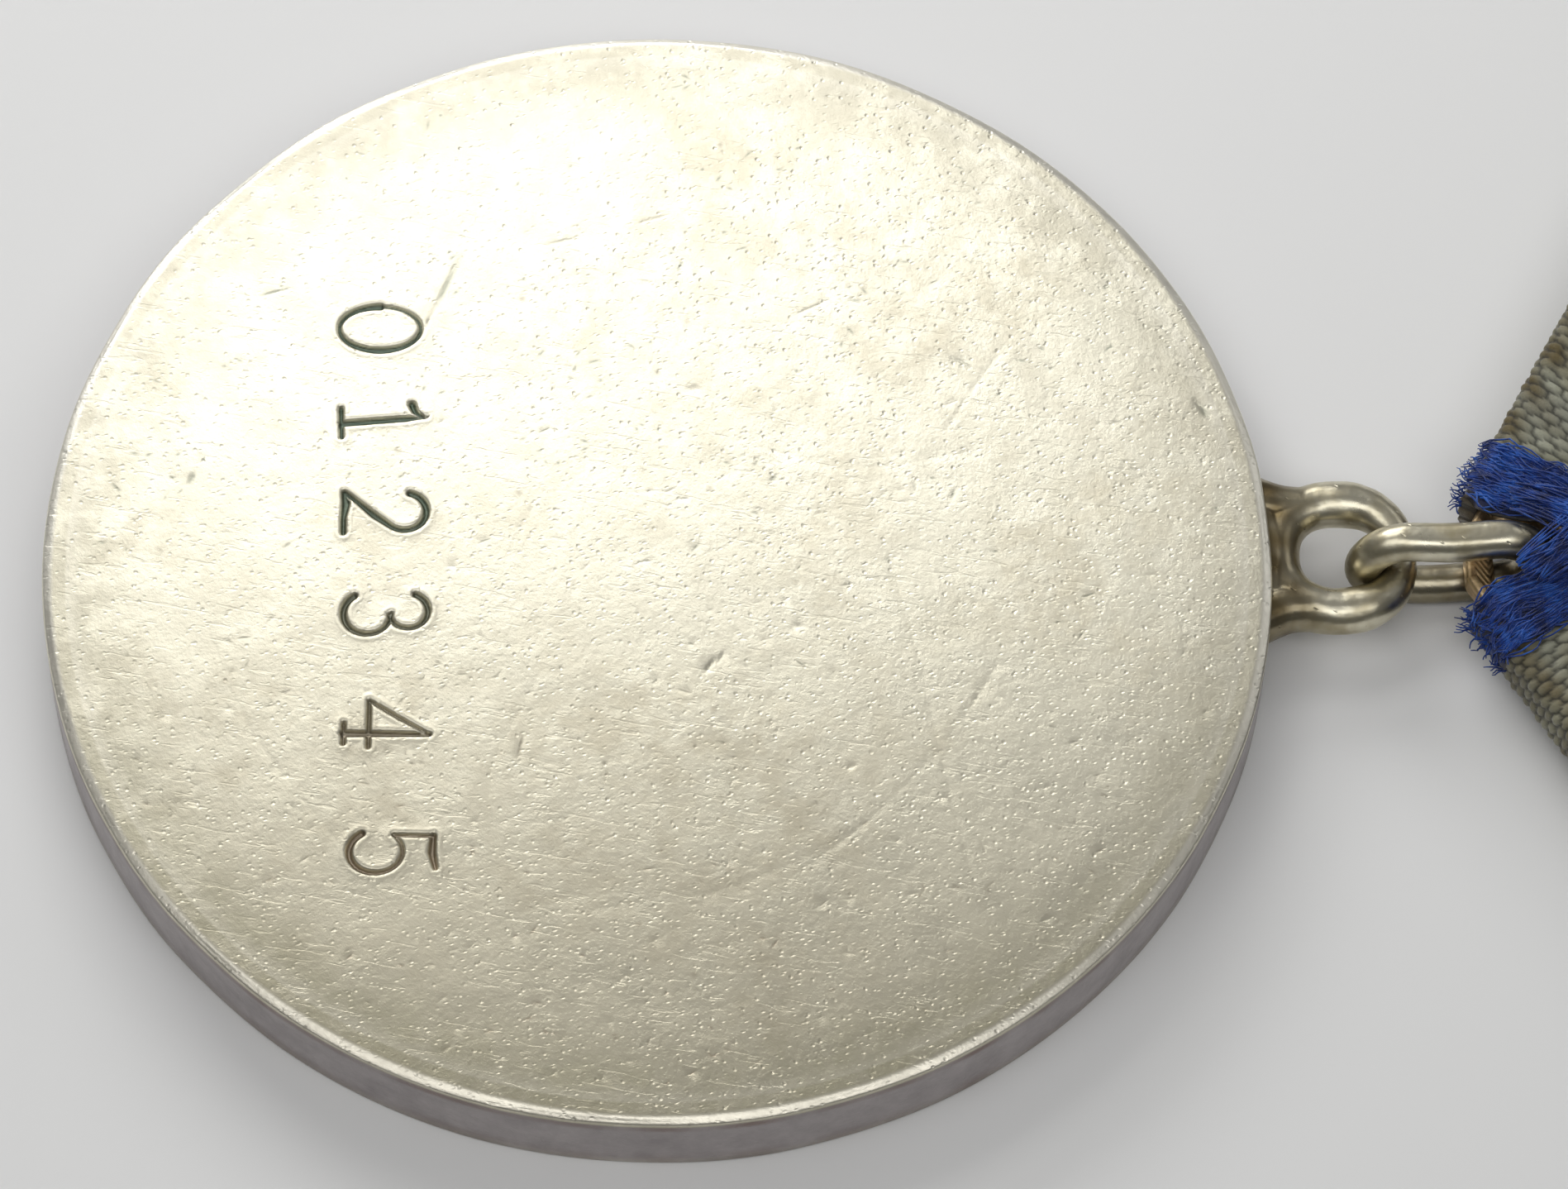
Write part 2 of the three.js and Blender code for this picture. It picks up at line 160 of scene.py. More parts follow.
def finish_piece(obj, body, material, slot, *nodes):
    obj.data.materials.clear()
    obj.data.materials.append(material)
    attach(obj, body)
    if nodes:
        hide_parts(*nodes)
    return obj


def tube(path, radius, sides, closed=False):
    """Points and faces of a round tube along path; radius is one number or one for each point."""
    path = np.asarray(path, float)
    count = len(path)
    radius = np.broadcast_to(radius, (count,))
    if closed:
        along = np.roll(path, -1, 0) - np.roll(path, 1, 0)
    else:
        along = np.gradient(path, axis=0)
    along /= np.linalg.norm(along, axis=1)[:, None] + TINY
    side = np.zeros((count, 3))
    start = np.array([0, 0, 1.0]) if abs(along[0, 2]) < 0.9 else np.array([1.0, 0, 0])
    for i in range(count):
        start = start - (start @ along[i]) * along[i]
        start /= np.linalg.norm(start)
        side[i] = start
    across = np.cross(along, side)
    angle = np.arange(sides) * 2 * math.pi / sides
    cosine, sine = np.cos(angle)[None, :, None], np.sin(angle)[None, :, None]
    ring = cosine * side[:, None] + sine * across[:, None]
    points = (path[:, None] + ring * radius[:, None, None]).reshape(-1, 3)
    faces = []
    for i in range(count if closed else count - 1):
        j = (i + 1) % count
        for k in range(sides):
            m = (k + 1) % sides
            faces.append((i * sides + k, i * sides + m, j * sides + m, j * sides + k))
    if not closed:
        faces.append(tuple(range(sides - 1, -1, -1)))
        faces.append(tuple((count - 1) * sides + k for k in range(sides)))
    return points, faces


def join_shells(shells):
    """Several (points, faces) as one."""
    points, faces, base = [], [], 0
    for shell_points, shell_faces in shells:
        points.append(shell_points)
        faces += [tuple(base + i for i in face) for face in shell_faces]
        base += len(shell_points)
    return np.concatenate(points), faces


def belt(above, below, outward=True):
    """Faces between two closed loops of point numbers."""
    faces = [(above[i - 1], below[i - 1], below[i], above[i]) for i in range(len(above))]
    return faces if outward else [face[::-1] for face in faces]


def remeshed(points, faces, voxel, smooths):
    """One skin round all the shells, in millimetres: the mesh's points and faces."""
    mesh = bpy.data.meshes.new("raw")
    mesh.from_pydata(np.asarray(points, float).tolist(), [], faces)
    obj = bpy.data.objects.new("raw", mesh)
    bpy.context.scene.collection.objects.link(obj)
    skin = obj.modifiers.new("skin", "REMESH")
    skin.mode = "VOXEL"
    skin.voxel_size = voxel
    relax = obj.modifiers.new("relax", "SMOOTH")
    relax.factor = 0.5
    relax.iterations = smooths
    graph = bpy.context.evaluated_depsgraph_get()
    made = obj.evaluated_get(graph).to_mesh()
    co = np.zeros(len(made.vertices) * 3)
    made.vertices.foreach_get("co", co)
    result = co.reshape(-1, 3), [tuple(p.vertices) for p in made.polygons]
    bpy.data.objects.remove(obj)
    bpy.data.meshes.remove(mesh)
    return result


def normals_of(points, faces):
    mesh = bpy.data.meshes.new("normals")
    mesh.from_pydata(np.asarray(points, float).tolist(), [], faces)
    normal = np.zeros(len(points) * 3)
    mesh.vertex_normals.foreach_get("vector", normal)
    bpy.data.meshes.remove(mesh)
    return normal.reshape(-1, 3)


def hex_points(low, high, pitch):
    rows = np.arange(low[1], high[1], pitch * math.sqrt(3) / 2)
    found = []
    for number, y in enumerate(rows):
        x = np.arange(low[0] + (number % 2) * pitch / 2, high[0], pitch)
        found.append(np.column_stack([x, np.full(len(x), y)]))
    return np.concatenate(found)


def triangulated(borders, inner):
    """Triangles over closed border loops and loose points inside: the points, and their numbers."""
    points = np.concatenate([*borders, inner])
    edges, base = [], 0
    for loop in borders:
        count = len(loop)
        edges += [(base + i, base + (i + 1) % count) for i in range(count)]
        base += count
    made = delaunay_2d_cdt([Vector(p) for p in points], edges, [], 0, 1e-7)
    origin = [ids[0] for ids in made[3]]
    return points, np.array([[origin[i] for i in face] for face in made[2]])


# ---------------------------------------------------------------- material helpers
class Looks:
    """A Principled material, with short calls for its nodes. Texture scales are per millimetre."""

    def __init__(self, name, metallic=0.0, roughness=0.5, **sockets):
        self.material = bpy.data.materials.new(name)
        self.material.use_nodes = True
        self.tree = self.material.node_tree
        self.shader = self.tree.nodes["Principled BSDF"]
        self.shader.inputs["Metallic"].default_value = metallic
        self.shader.inputs["Roughness"].default_value = roughness
        for key, value in sockets.items():
            self.shader.inputs[key.replace("_", " ")].default_value = value
        self.place = self.node("TexCoord").outputs["Object"]

    def node(self, kind):
        return self.tree.nodes.new("ShaderNode" + kind)

    def put(self, socket, value):
        if isinstance(value, bpy.types.NodeSocket):
            self.tree.links.new(value, socket)
        elif isinstance(value, tuple) and len(value) == 3 and socket.type == "RGBA":
            socket.default_value = (*value, 1)
        else:
            socket.default_value = value

    def set(self, name, value):
        self.put(self.shader.inputs[name], value)

    def coords(self, stretch=(1, 1, 1), turn=0.0):
        """Millimetre coordinates, turned about Z, then stretched."""
        turned = self.node("Mapping")
        turned.inputs["Rotation"].default_value = (0, 0, math.radians(turn))
        turned.inputs["Scale"].default_value = (1000, 1000, 1000)
        self.put(turned.inputs["Vector"], self.place)
        scaled = self.node("Mapping")
        scaled.inputs["Scale"].default_value = stretch
        self.put(scaled.inputs["Vector"], turned.outputs[0])
        return scaled.outputs[0]

    def noise(self, scale, detail, rough=0.5, stretch=(1, 1, 1), turn=0.0):
        node = self.node("TexNoise")
        self.put(node.inputs["Vector"], self.coords(stretch, turn))
        node.inputs["Scale"].default_value = scale
        node.inputs["Detail"].default_value = detail
        node.inputs["Roughness"].default_value = rough
        return node.outputs["Fac"]

    def cells(self, scale, stretch=(1, 1, 1), turn=0.0):
        node = self.node("TexVoronoi")
        self.put(node.inputs["Vector"], self.coords(stretch, turn))
        node.inputs["Scale"].default_value = scale
        return node.outputs["Distance"]

    def attribute(self, name):
        node = self.node("Attribute")
        node.attribute_name = name
        return node.outputs["Fac"]

    def maths(self, operation, a, b):
        node = self.node("Math")
        node.operation = operation
        self.put(node.inputs[0], a)
        self.put(node.inputs[1], b)
        return node.outputs[0]

    def range(self, value, from_low, from_high, to_low=0.0, to_high=1.0):
        node = self.node("MapRange")
        node.interpolation_type = "SMOOTHSTEP"
        for key, number in zip(range(1, 5), (from_low, from_high, to_low, to_high)):
            node.inputs[key].default_value = number
        self.put(node.inputs[0], value)
        return node.outputs[0]

    def mix(self, factor, a, b):
        node = self.node("Mix")
        node.data_type = "RGBA"
        self.put(node.inputs[0], factor)
        self.put(node.inputs[6], a)
        self.put(node.inputs[7], b)
        return node.outputs[2]

    def ramp(self, value, *stops):
        node = self.node("ValToRGB")
        while len(node.color_ramp.elements) < len(stops):
            node.color_ramp.elements.new(0.5)
        for element, (position, colour) in zip(node.color_ramp.elements, stops):
            element.position = position
            element.color = (*colour, 1)
        self.put(node.inputs[0], value)
        return node.outputs[0]

    def pits(self, scale, reach, stretch=(1, 1, 1), turn=0.0):
        """Round hollows: -1 in their middle and 0 outside."""
        return self.range(self.cells(scale, stretch, turn), 0.0, reach, -1.0, 0.0)

    def relief(self, *layers):
        """Bumps on one another: pairs of a height and its depth in millimetres for a height of 1."""
        normal = None
        for height, depth in layers:
            node = self.node("Bump")
            node.inputs["Distance"].default_value = depth * MM
            self.put(node.inputs["Height"], height)
            if normal is not None:
                self.put(node.inputs["Normal"], normal)
            normal = node.outputs[0]
        self.set("Normal", normal)


def worn_silver():
    """The disc: warm silver, worn bright on the reverse's edge, with pits, hairlines and toning, and with
    painted shade towards its near side, on its side wall and along the wall's foot.
    """
    look = Looks("worn_silver", metallic=1.0)
    cloud = look.noise(0.16, 3.0, 0.6)
    mottle = look.noise(0.9, 4.0, 0.65)
    grime = look.maths("MULTIPLY", look.range(cloud, 0.38, 0.68), look.range(mottle, 0.35, 0.7))
    height = look.node("SeparateXYZ")
    look.put(height.inputs[0], look.coords())
    slope = look.maths("ADD", height.outputs["Y"], look.maths("MULTIPLY", height.outputs["X"], 0.1))
    # lower runs from 0 at the disc's top to 1 at its near side; every colour mixed by it darkens towards the
    # near side, which is painted shade of the key light's falloff.
    lower = look.range(slope, 2.0, -19.0)
    base = look.mix(lower, (0.885, 0.848, 0.70), (0.55, 0.512, 0.40))
    grime_and_shade_colour = look.mix(lower, (0.68, 0.62, 0.47), (0.36, 0.32, 0.235))
    base = look.mix(look.maths("MULTIPLY", grime, 0.6), base, grime_and_shade_colour)
    specks = look.range(look.cells(0.55), 0.0, 0.09, 1.0, 0.0)
    base = look.mix(look.maths("MULTIPLY", specks, 0.5), base, (0.35, 0.30, 0.22))
    dots = look.range(look.cells(1.9), 0.0, 0.11, 0.45, 0.0)
    dots = look.maths("MULTIPLY", dots, look.range(mottle, 0.4, 0.6))
    base = look.mix(dots, base, (0.34, 0.31, 0.22))
    rim = look.maths("MULTIPLY", look.attribute("rim"), look.range(mottle, 0.3, 0.62, 0.25, 0.8))
    base = look.mix(rim, base, look.mix(lower, (0.62, 0.585, 0.47), (0.37, 0.345, 0.25)))
    # The side wall's darker colour is painted shade, standing in for the shaded floor that the wall
    # reflects.
    base = look.mix(look.attribute("wall"), base, look.mix(mottle, (0.54, 0.505, 0.50), (0.30, 0.27, 0.275)))
    base = look.mix(look.attribute("worn"), base, look.mix(lower, (0.93, 0.90, 0.80), (0.80, 0.76, 0.65)))
    # The toned attribute is patina in the digits and marks, and painted contact shade along the foot of the
    # side wall.
    toned = look.maths("MULTIPLY", look.attribute("toned"), look.range(lower, 0.0, 1.0, 0.88, 0.6))
    base = look.mix(toned, base, look.mix(lower, (0.02, 0.065, 0.045), (0.17, 0.08, 0.04)))
    look.set("Base Color", base)
    fine = look.noise(7.0, 3.0, 0.6)
    cloudy = look.maths("ADD", mottle, look.maths("MULTIPLY", fine, 0.5))
    look.set("Roughness", look.range(cloudy, 0.4, 1.1, 0.34, 0.47))
    scuffs = look.range(look.noise(2.2, 2.0, 0.5, (0.3, 2.0, 1), 13), 0.62, 0.68)
    grain = look.noise(6.5, 4.0, 0.65, (0.8, 1, 1), 25)
    look.relief(
        (look.noise(0.5, 2.0), 0.035),
        (look.noise(3.2, 3.0, 0.6), 0.010),
        (look.pits(2.6, 0.22, (1, 1, 1), 12), 0.014),
        (look.pits(5.5, 0.3, (0.55, 1, 1), -14), 0.009),
        (look.pits(9.0, 0.2, (1, 0.8, 1), 40), 0.0015),
        (scuffs, -0.004),
        (grain, 0.011),
    )
    return look.material


def toned_silver():
    """Eyelet and ring: polished by wear, olive toning in the hollows, hammered and nicked; the toned
    attribute also carries painted shade on the ring's lower part.
    """
    look = Looks("toned_silver", metallic=1.0)
    cloud = look.noise(0.8, 3.0, 0.6)
    tone = look.range(cloud, 0.35, 0.7)
    base = look.mix(tone, (0.70, 0.66, 0.52), (0.45, 0.40, 0.27))
    base = look.mix(look.attribute("toned"), base, (0.15, 0.115, 0.06))
    look.set("Base Color", base)
    look.set("Roughness", look.range(cloud, 0.3, 0.75, 0.27, 0.40))
    nicks = look.pits(2.2, 0.13, (0.5, 1.6, 1), 30)
    look.relief((look.noise(1.7, 2.0, 0.5), 0.016), (look.noise(6.0, 3.0, 0.6), 0.004), (nicks, 0.014))
    return look.material


def rolled_brass(name, turn):
    """Tombac sheet: rolling lines, brown toning and rubbed edges."""
    look = Looks(name, metallic=1.0)
    cloud = look.noise(0.22, 4.0, 0.6)
    stain = look.noise(1.1, 5.0, 0.7)
    stops = (0.30, (0.62, 0.45, 0.25)), (0.55, (0.50, 0.34, 0.18)), (0.75, (0.36, 0.24, 0.13))
    base = look.ramp(cloud, *stops)
    base = look.mix(look.range(stain, 0.52, 0.72), base, (0.23, 0.155, 0.085))
    base = look.mix(look.attribute("worn"), base, (0.78, 0.60, 0.36))
    base = look.mix(look.attribute("toned"), base, (0.12, 0.075, 0.035))
    look.set("Base Color", base)
    look.set("Roughness", look.range(stain, 0.3, 0.75, 0.28, 0.5))
    lines = look.noise(2.0, 3.0, 0.6, (0.05, 3.0, 1), turn)
    look.relief((lines, 0.012), (look.pits(0.9, 0.1), 0.02), (look.noise(5.0, 2.0), 0.006))
    return look.material


def drawn_steel():
    """Pin and axle: nickelled steel wire with drawing lines and small rust specks."""
    look = Looks("drawn_steel", metallic=1.0)
    cloud = look.noise(0.7, 4.0, 0.65)
    stops = (0.35, (0.62, 0.61, 0.59)), (0.62, (0.47, 0.45, 0.42)), (0.75, (0.26, 0.19, 0.13))
    base = look.ramp(cloud, *stops)
    look.set("Base Color", base)
    look.set("Roughness", look.range(cloud, 0.3, 0.75, 0.22, 0.5))
    look.relief((look.noise(3.0, 2.0, 0.5, (4.0, 0.1, 4.0)), 0.008), (look.noise(6.0, 3.0), 0.006))
    return look.material


def silk_ribbon():
    """Grey moire silk with a blue stripe at each edge; the floats come with the mesh, with painted shade in
    the gaps between them and soil and painted shade near the fold.
    """
    gloss = {"Sheen_Weight": 0.25, "Sheen_Roughness": 0.4, "Specular_IOR_Level": 0.3}
    look = Looks("silk_ribbon", roughness=0.62, **gloss)
    bead = look.attribute("bead")
    cloud = look.noise(0.35, 3.0, 0.6)
    grey = look.mix(bead, (0.165, 0.160, 0.095), (0.47, 0.475, 0.36))
    grey = look.mix(look.range(cloud, 0.35, 0.7), grey, look.mix(0.5, grey, (0.36, 0.39, 0.36)))
    blue = look.mix(bead, (0.004, 0.016, 0.10), (0.012, 0.060, 0.30))
    base = look.mix(look.attribute("blue"), grey, blue)
    # Soil and painted shade brown the silk near the fold.
    base = look.mix(look.attribute("soil_and_shade"), base, (0.135, 0.105, 0.045))
    # Painted shade in the gaps between the floats.
    gap_shade_colour = look.mix(0.88, base, (0.014, 0.014, 0.012))
    base = look.mix(look.attribute("gap"), base, gap_shade_colour)
    look.set("Base Color", base)
    look.relief((look.noise(14.0, 2.0, 0.6), 0.02))
    return look.material


def blue_silk():
    """Loose blue threads: navy that varies at random, its bright cobalt end painted highlight."""
    gloss = {"Sheen_Weight": 0.35, "Sheen_Roughness": 0.35, "Specular_IOR_Level": 0.4}
    look = Looks("blue_silk", roughness=0.45, **gloss)
    shade = look.noise(1.6, 3.0, 0.6)
    # The bright cobalt stops are painted highlight.
    stops = (0.32, (0.003, 0.010, 0.07)), (0.50, (0.006, 0.040, 0.25)), (0.68, (0.018, 0.115, 0.50))
    look.set("Base Color", look.ramp(shade, *stops))
    look.relief((look.noise(22.0, 2.0), 0.01))
    return look.material


def grey_thread():
    """Sewing thread."""
    look = Looks("grey_thread", roughness=0.7, Sheen_Weight=0.2, Specular_IOR_Level=0.25)
    shade = look.noise(3.0, 3.0, 0.6)
    look.set("Base Color", look.ramp(shade, (0.3, (0.20, 0.20, 0.15)), (0.7, (0.42, 0.42, 0.34))))
    look.relief((look.noise(9.0, 2.0, 0.5, (1, 1, 1), 30), 0.05))
    return look.material


# ---------------------------------------------------------------- the disc
DIGITS = "012345"
DIGIT_X = -8.2
DIGIT_PLACES = (8.33, 5.14, 2.0, -1.46, -5.2, -9.4)
DIGIT_TURNS = (2.0, -1.5, 1.0, -2.0, 2.5, -1.0)
DIGIT_SHIFTS = (0.0, 0.05, 0.02, 0.0, -0.05, 0.05)
DIGIT_DEPTH = 0.17
DIGIT_MIDDLE = 1.25
DIGIT_SCALE = 1.06
WORN_EDGE = 0.75
BEVEL_TILT = math.radians(26)
BEVEL_STEPS = 14
BEVEL_LIP = math.radians(76)
OBVERSE_ROUND = 0.16
DISC_STEPS = 480
CAP_PITCH = 0.42
DIGIT_PITCH = 0.045


def arc(cx, cy, rx, ry, from_angle, to_angle, from_half, to_half, steps=14):
    """Corners of a curved stroke: (x, y, half width)."""
    corners = []
    for step in range(steps + 1):
        t = step / steps
        a = math.radians(from_angle + t * (to_angle - from_angle))
        corners.append((cx + rx * math.cos(a), cy + ry * math.sin(a), from_half + t * (to_half - from_half)))
    return corners


def digit_strokes(digit):
    """Strokes of a punched digit, 2.5 mm high, standing on y = 0 with its middle at x = 0."""
    if digit == "0":
        oval = (0, DIGIT_MIDDLE, 0.72, 1.17)
        return [
            arc(*oval, 90, 180, 0.07, 0.07, 12) + arc(*oval, 180, 270, 0.13, 0.07),
            arc(*oval, -90, 0, 0.07, 0.13) + arc(*oval, 0, 90, 0.13, 0.07),
        ]
    if digit == "1":
        return [
            [(0.05, 0.06, 0.12), (0.0, 1.9, 0.115), (-0.02, 2.5, 0.05)],
            [(0.0, 2.42, 0.06), (-0.22, 2.16, 0.1), (-0.46, 2.08, 0.12)],
            [(-0.44, 0.05, 0.09), (0.5, 0.03, 0.08)],
        ]
    if digit == "2":
        bowl = arc(0.02, 1.82, 0.6, 0.62, 165, -40, 0.12, 0.10, 18)
        return [
            bowl + [(0.12, 0.95, 0.12), (-0.3, 0.5, 0.09), (-0.62, 0.14, 0.09)],
            [(-0.62, 0.1, 0.1), (-0.3, 0.16, 0.14), (0.2, 0.08, 0.1), (0.68, 0.08, 0.1)],
        ]
    if digit == "3":
        return [
            arc(-0.02, 1.88, 0.55, 0.56, 155, -80, 0.11, 0.08, 16),
            arc(-0.02, 0.72, 0.66, 0.68, 85, -150, 0.08, 0.12, 18),
        ]
    if digit == "4":
        return [
            [(0.3, 2.45, 0.06), (-0.2, 1.6, 0.07), (-0.72, 0.78, 0.07)],
            [(-0.72, 0.75, 0.08), (0.72, 0.75, 0.08)],
            [(0.3, 2.45, 0.09), (0.3, 0.05, 0.125)],
            [(-0.02, 0.05, 0.08), (0.62, 0.05, 0.08)],
        ]
    return [
        [(-0.42, 2.4, 0.1), (0.1, 2.34, 0.12), (0.58, 2.42, 0.08)],
        [(-0.42, 2.38, 0.07), (-0.5, 1.3, 0.07)],
        [(-0.5, 1.3, 0.05)] + arc(-0.02, 0.78, 0.66, 0.75, 125, -150, 0.06, 0.12, 20),
    ]


def stroke_distance(points, stroke):
    """Signed distance from points to a stroke, negative inside it."""
    best = np.full(len(points), 9.0)
    for (x0, y0, w0), (x1, y1, w1) in zip(stroke, stroke[1:]):
        along = np.array([x1 - x0, y1 - y0])
        reach = along @ along
        if reach < TINY:
            continue
        rel = points - (x0, y0)
        t = np.clip(rel @ along / reach, 0, 1)
        gap = np.linalg.norm(rel - t[:, None] * along, axis=1) - (w0 + t * (w1 - w0))
        best = np.minimum(best, gap)
    return best


def digits_distance(points):
    """Signed distance from points on the reverse (from the disc's centre) to the nearest digit."""
    best = np.full(len(points), 9.0)
    for digit, place, turn, shift in zip(DIGITS, DIGIT_PLACES, DIGIT_TURNS, DIGIT_SHIFTS):
        near = np.flatnonzero((np.abs(points[:, 1] - place) < 1.7) & (np.abs(points[:, 0] - DIGIT_X) < 2.2))
        rel = points[near] - (DIGIT_X + shift, place)
        a = math.radians(turn)
        x = -rel[:, 1] * math.cos(a) - rel[:, 0] * math.sin(a)
        y = rel[:, 0] * math.cos(a) - rel[:, 1] * math.sin(a)
        own = np.column_stack([x, y]) / DIGIT_SCALE + (0, DIGIT_MIDDLE)
        for stroke in digit_strokes(digit):
            best[near] = np.minimum(best[near], stroke_distance(own, stroke) * DIGIT_SCALE)
    return best


# Marks that stand out on the reverse, from the disc's centre: x, y, half length, half width, angle, depth.
MARKS = [
    (1.45, -3.55, 0.3, 0.08, 55, 0.05), (1.75, -3.35, 0.2, 0.07, 60, 0.04),
    (4.1, -2.35, 0.14, 0.12, 0, 0.06),
    (5.5, -7.1, 0.16, 0.10, 30, 0.06), (-6.4, 9.2, 1.5, 0.09, 66, 0.035), (16.7, 4.7, 0.35, 0.09, -60, 0.06),
    (9.4, 6.6, 0.4, 0.05, -35, 0.025), (-14.0, 3.3, 0.2, 0.09, 70, 0.05), (1.3, 5.9, 0.2, 0.12, 0, 0.05),
    (3.6, 2.7, 0.16, 0.09, 40, 0.04), (-4.3, -6.1, 0.35, 0.045, 75, 0.02), (0.3, 11.9, 0.5, 0.06, 15, 0.03),
    (-2.6, 11.2, 0.45, 0.06, 12, 0.035), (-11.4, 9.7, 0.4, 0.05, 15, 0.03), (5.0, 8.6, 0.5, 0.05, 25, 0.025),
]
# Long hairlines: points that an arc of wear passes through.
HAIRLINES = [
    [(-3.6, 2.2), (-4.6, -0.4), (-3.5, -3.0), (-5.2, -7.0), (-5.0, -11.0)],
    [(6.6, 1.6), (7.6, -3.2), (8.2, -7.0), (9.0, -11.3)],
    [(10.0, -3.9), (8.6, -6.0), (6.0, -8.8), (3.1, -11.0)],
    [(-2.2, -11.5), (1.5, -11.0), (4.6, -9.8)],
    [(11.2, 7.6), (9.8, 5.6), (8.9, 4.2)],
    [(-11.8, 5.0), (-9.8, 4.6), (-7.6, 4.9)],
    [(-13.5, -2.0), (-12.2, -5.4), (-9.8, -9.0)],
    [(3.2, 3.8), (6.0, 3.0), (9.6, 3.4)],
]
NICKS = 520


def curve_through(corners, pitch):
    """Points every pitch or so on a smooth curve through the corners."""
    corners = np.asarray(corners, float)
    padded = np.vstack([2 * corners[0] - corners[1], corners, 2 * corners[-1] - corners[-2]])
    found = []
    for a, b, c, d in zip(padded, padded[1:], padded[2:], padded[3:]):
        steps = max(2, int(np.linalg.norm(c - b) / pitch))
        t = (np.arange(steps) / steps)[:, None]
        bend, twist = 2 * a - 5 * b + 4 * c - d, 3 * b - a - 3 * c + d
        found.append(0.5 * (2 * b + (c - a) * t + bend * t**2 + twist * t**3))
    return np.vstack([*found, corners[-1:]])


def all_marks():
    rng = np.random.default_rng(11)
    marks = list(MARKS)
    for _ in range(NICKS):
        r = math.sqrt(rng.uniform(0, 1)) * (DISC_RADIUS - WORN_EDGE - 0.5)
        a = rng.uniform(0, 2 * math.pi)
        long = rng.uniform(0.05, 0.19)
        marks.append((
            r * math.cos(a), r * math.sin(a), long, rng.uniform(0.03, 0.05),
            rng.normal(12, 35), rng.uniform(0.005, 0.017) * (1.15 - 0.35 * math.sin(a) * r / DISC_RADIUS),
        ))
    return marks


def mark_points(marks, hairlines):
    """Extra mesh points where marks need them."""
    found = []
    for x, y, long, wide, angle, _ in marks:
        a = math.radians(angle)
        steps = max(1, int(long / 0.09))
        u = np.linspace(-1.3, 1.3, 2 * steps + 1) * long
        for v in (-1.6, -0.7, 0, 0.7, 1.6):
            found.append(np.column_stack([
                x + u * math.cos(a) - v * wide * math.sin(a), y + u * math.sin(a) + v * wide * math.cos(a),
            ]))
    for line in hairlines:
        along = np.gradient(line, axis=0)
        along /= np.linalg.norm(along, axis=1)[:, None]
        across = np.column_stack([-along[:, 1], along[:, 0]])
        found += [line + across * offset for offset in (-0.09, -0.03, 0.03, 0.09)]
    return np.concatenate(found)


def reverse_height(points, marks, hairlines):
    """Height of the reverse over its flat, and how dark its hollows are toned."""
    height = lumps(points, 11.0, 5) * 0.012 + lumps(points, 3.5, 6) * 0.003
    away = digits_distance(points)
    groove = smoothstep(-away, -0.015, 0.085)
    dirt = np.zeros(len(points))
    height -= DIGIT_DEPTH * groove
    height += 0.014 * np.exp(-(((away - 0.1) / 0.07) ** 2))
    for x, y, long, wide, angle, depth in marks:
        a = math.radians(angle)
        near = np.flatnonzero((np.abs(points - (x, y)) < 2.6 * long).all(1))
        rel = points[near] - (x, y)
        u = (rel[:, 0] * math.cos(a) + rel[:, 1] * math.sin(a)) / long
        v = (rel[:, 1] * math.cos(a) - rel[:, 0] * math.sin(a)) / wide
        reach = u**4 + v**2
        height[near] -= 0.6 * depth * np.exp(-reach) * (1 - 0.45 * v * v)
        dirt[near] = np.maximum(dirt[near], np.exp(-reach))
    for line in hairlines:
        low, high = line.min(0) - 0.2, line.max(0) + 0.2
        near = np.flatnonzero(((points > low) & (points < high)).all(1))
        gap = np.min(np.linalg.norm(points[near][:, None] - line[None], axis=2), axis=1)
        height[near] -= (0.005 + 0.004 * lumps(points[near], 2.5, 9)) * np.exp(-((gap / 0.05) ** 2))
    dirt *= 0.6 * smoothstep(lumps(points, 4.0, 12), -0.3, 0.5)
    return height, np.maximum(smoothstep(-away, 0.0, 0.065), dirt)


LEAF_PAIRS = 11
WREATH_RADIUS = 12.2
LEAF = (3.1, 1.25, 0.26)        # length, width, height
LEAF_FIRST = 14.0
LEAF_STEP = 14.4
LEAVES = ((0.62, 0.95), (-0.62, -0.95), (0.0, 0.1))     # lean, and how far out from the stem
OBVERSE_PITCH = 0.17
RAYS = 72
RAYS_FROM = 6.2
RAYS_TO = 15.4
BOSS_RADIUS = 5.3
BOSS_RING_RADIUS = 5.6
BEADS = 84
BEAD_RADIUS = 0.42
BEAD_CIRCLE = 15.9


def leaf_height(points, x, y, angle, long, wide, height):
    """One laurel leaf with a vein."""
    near = np.flatnonzero(np.hypot(points[:, 0] - x, points[:, 1] - y) < long)
    rel = points[near] - (x, y)
    u = (rel[:, 0] * math.cos(angle) + rel[:, 1] * math.sin(angle)) / (long / 2)
    v = rel[:, 1] * math.cos(angle) - rel[:, 0] * math.sin(angle)
    half = wide / 2 * np.clip(1 - np.abs(u) ** 1.7, 0, 1) ** 0.8 * (1 - 0.25 * u)
    inside = half > 0.02
    share = np.where(inside, np.abs(v) / np.maximum(half, 0.02), 2)
    body = height * np.sqrt(np.clip(1 - share**2, 0, 1)) * smoothstep(1 - np.abs(u), 0, 0.25)
    body -= 0.3 * height * np.exp(-((v / 0.09) ** 2)) * (share < 1) * (np.abs(u) < 0.85)
    return near, np.maximum(body, 0)


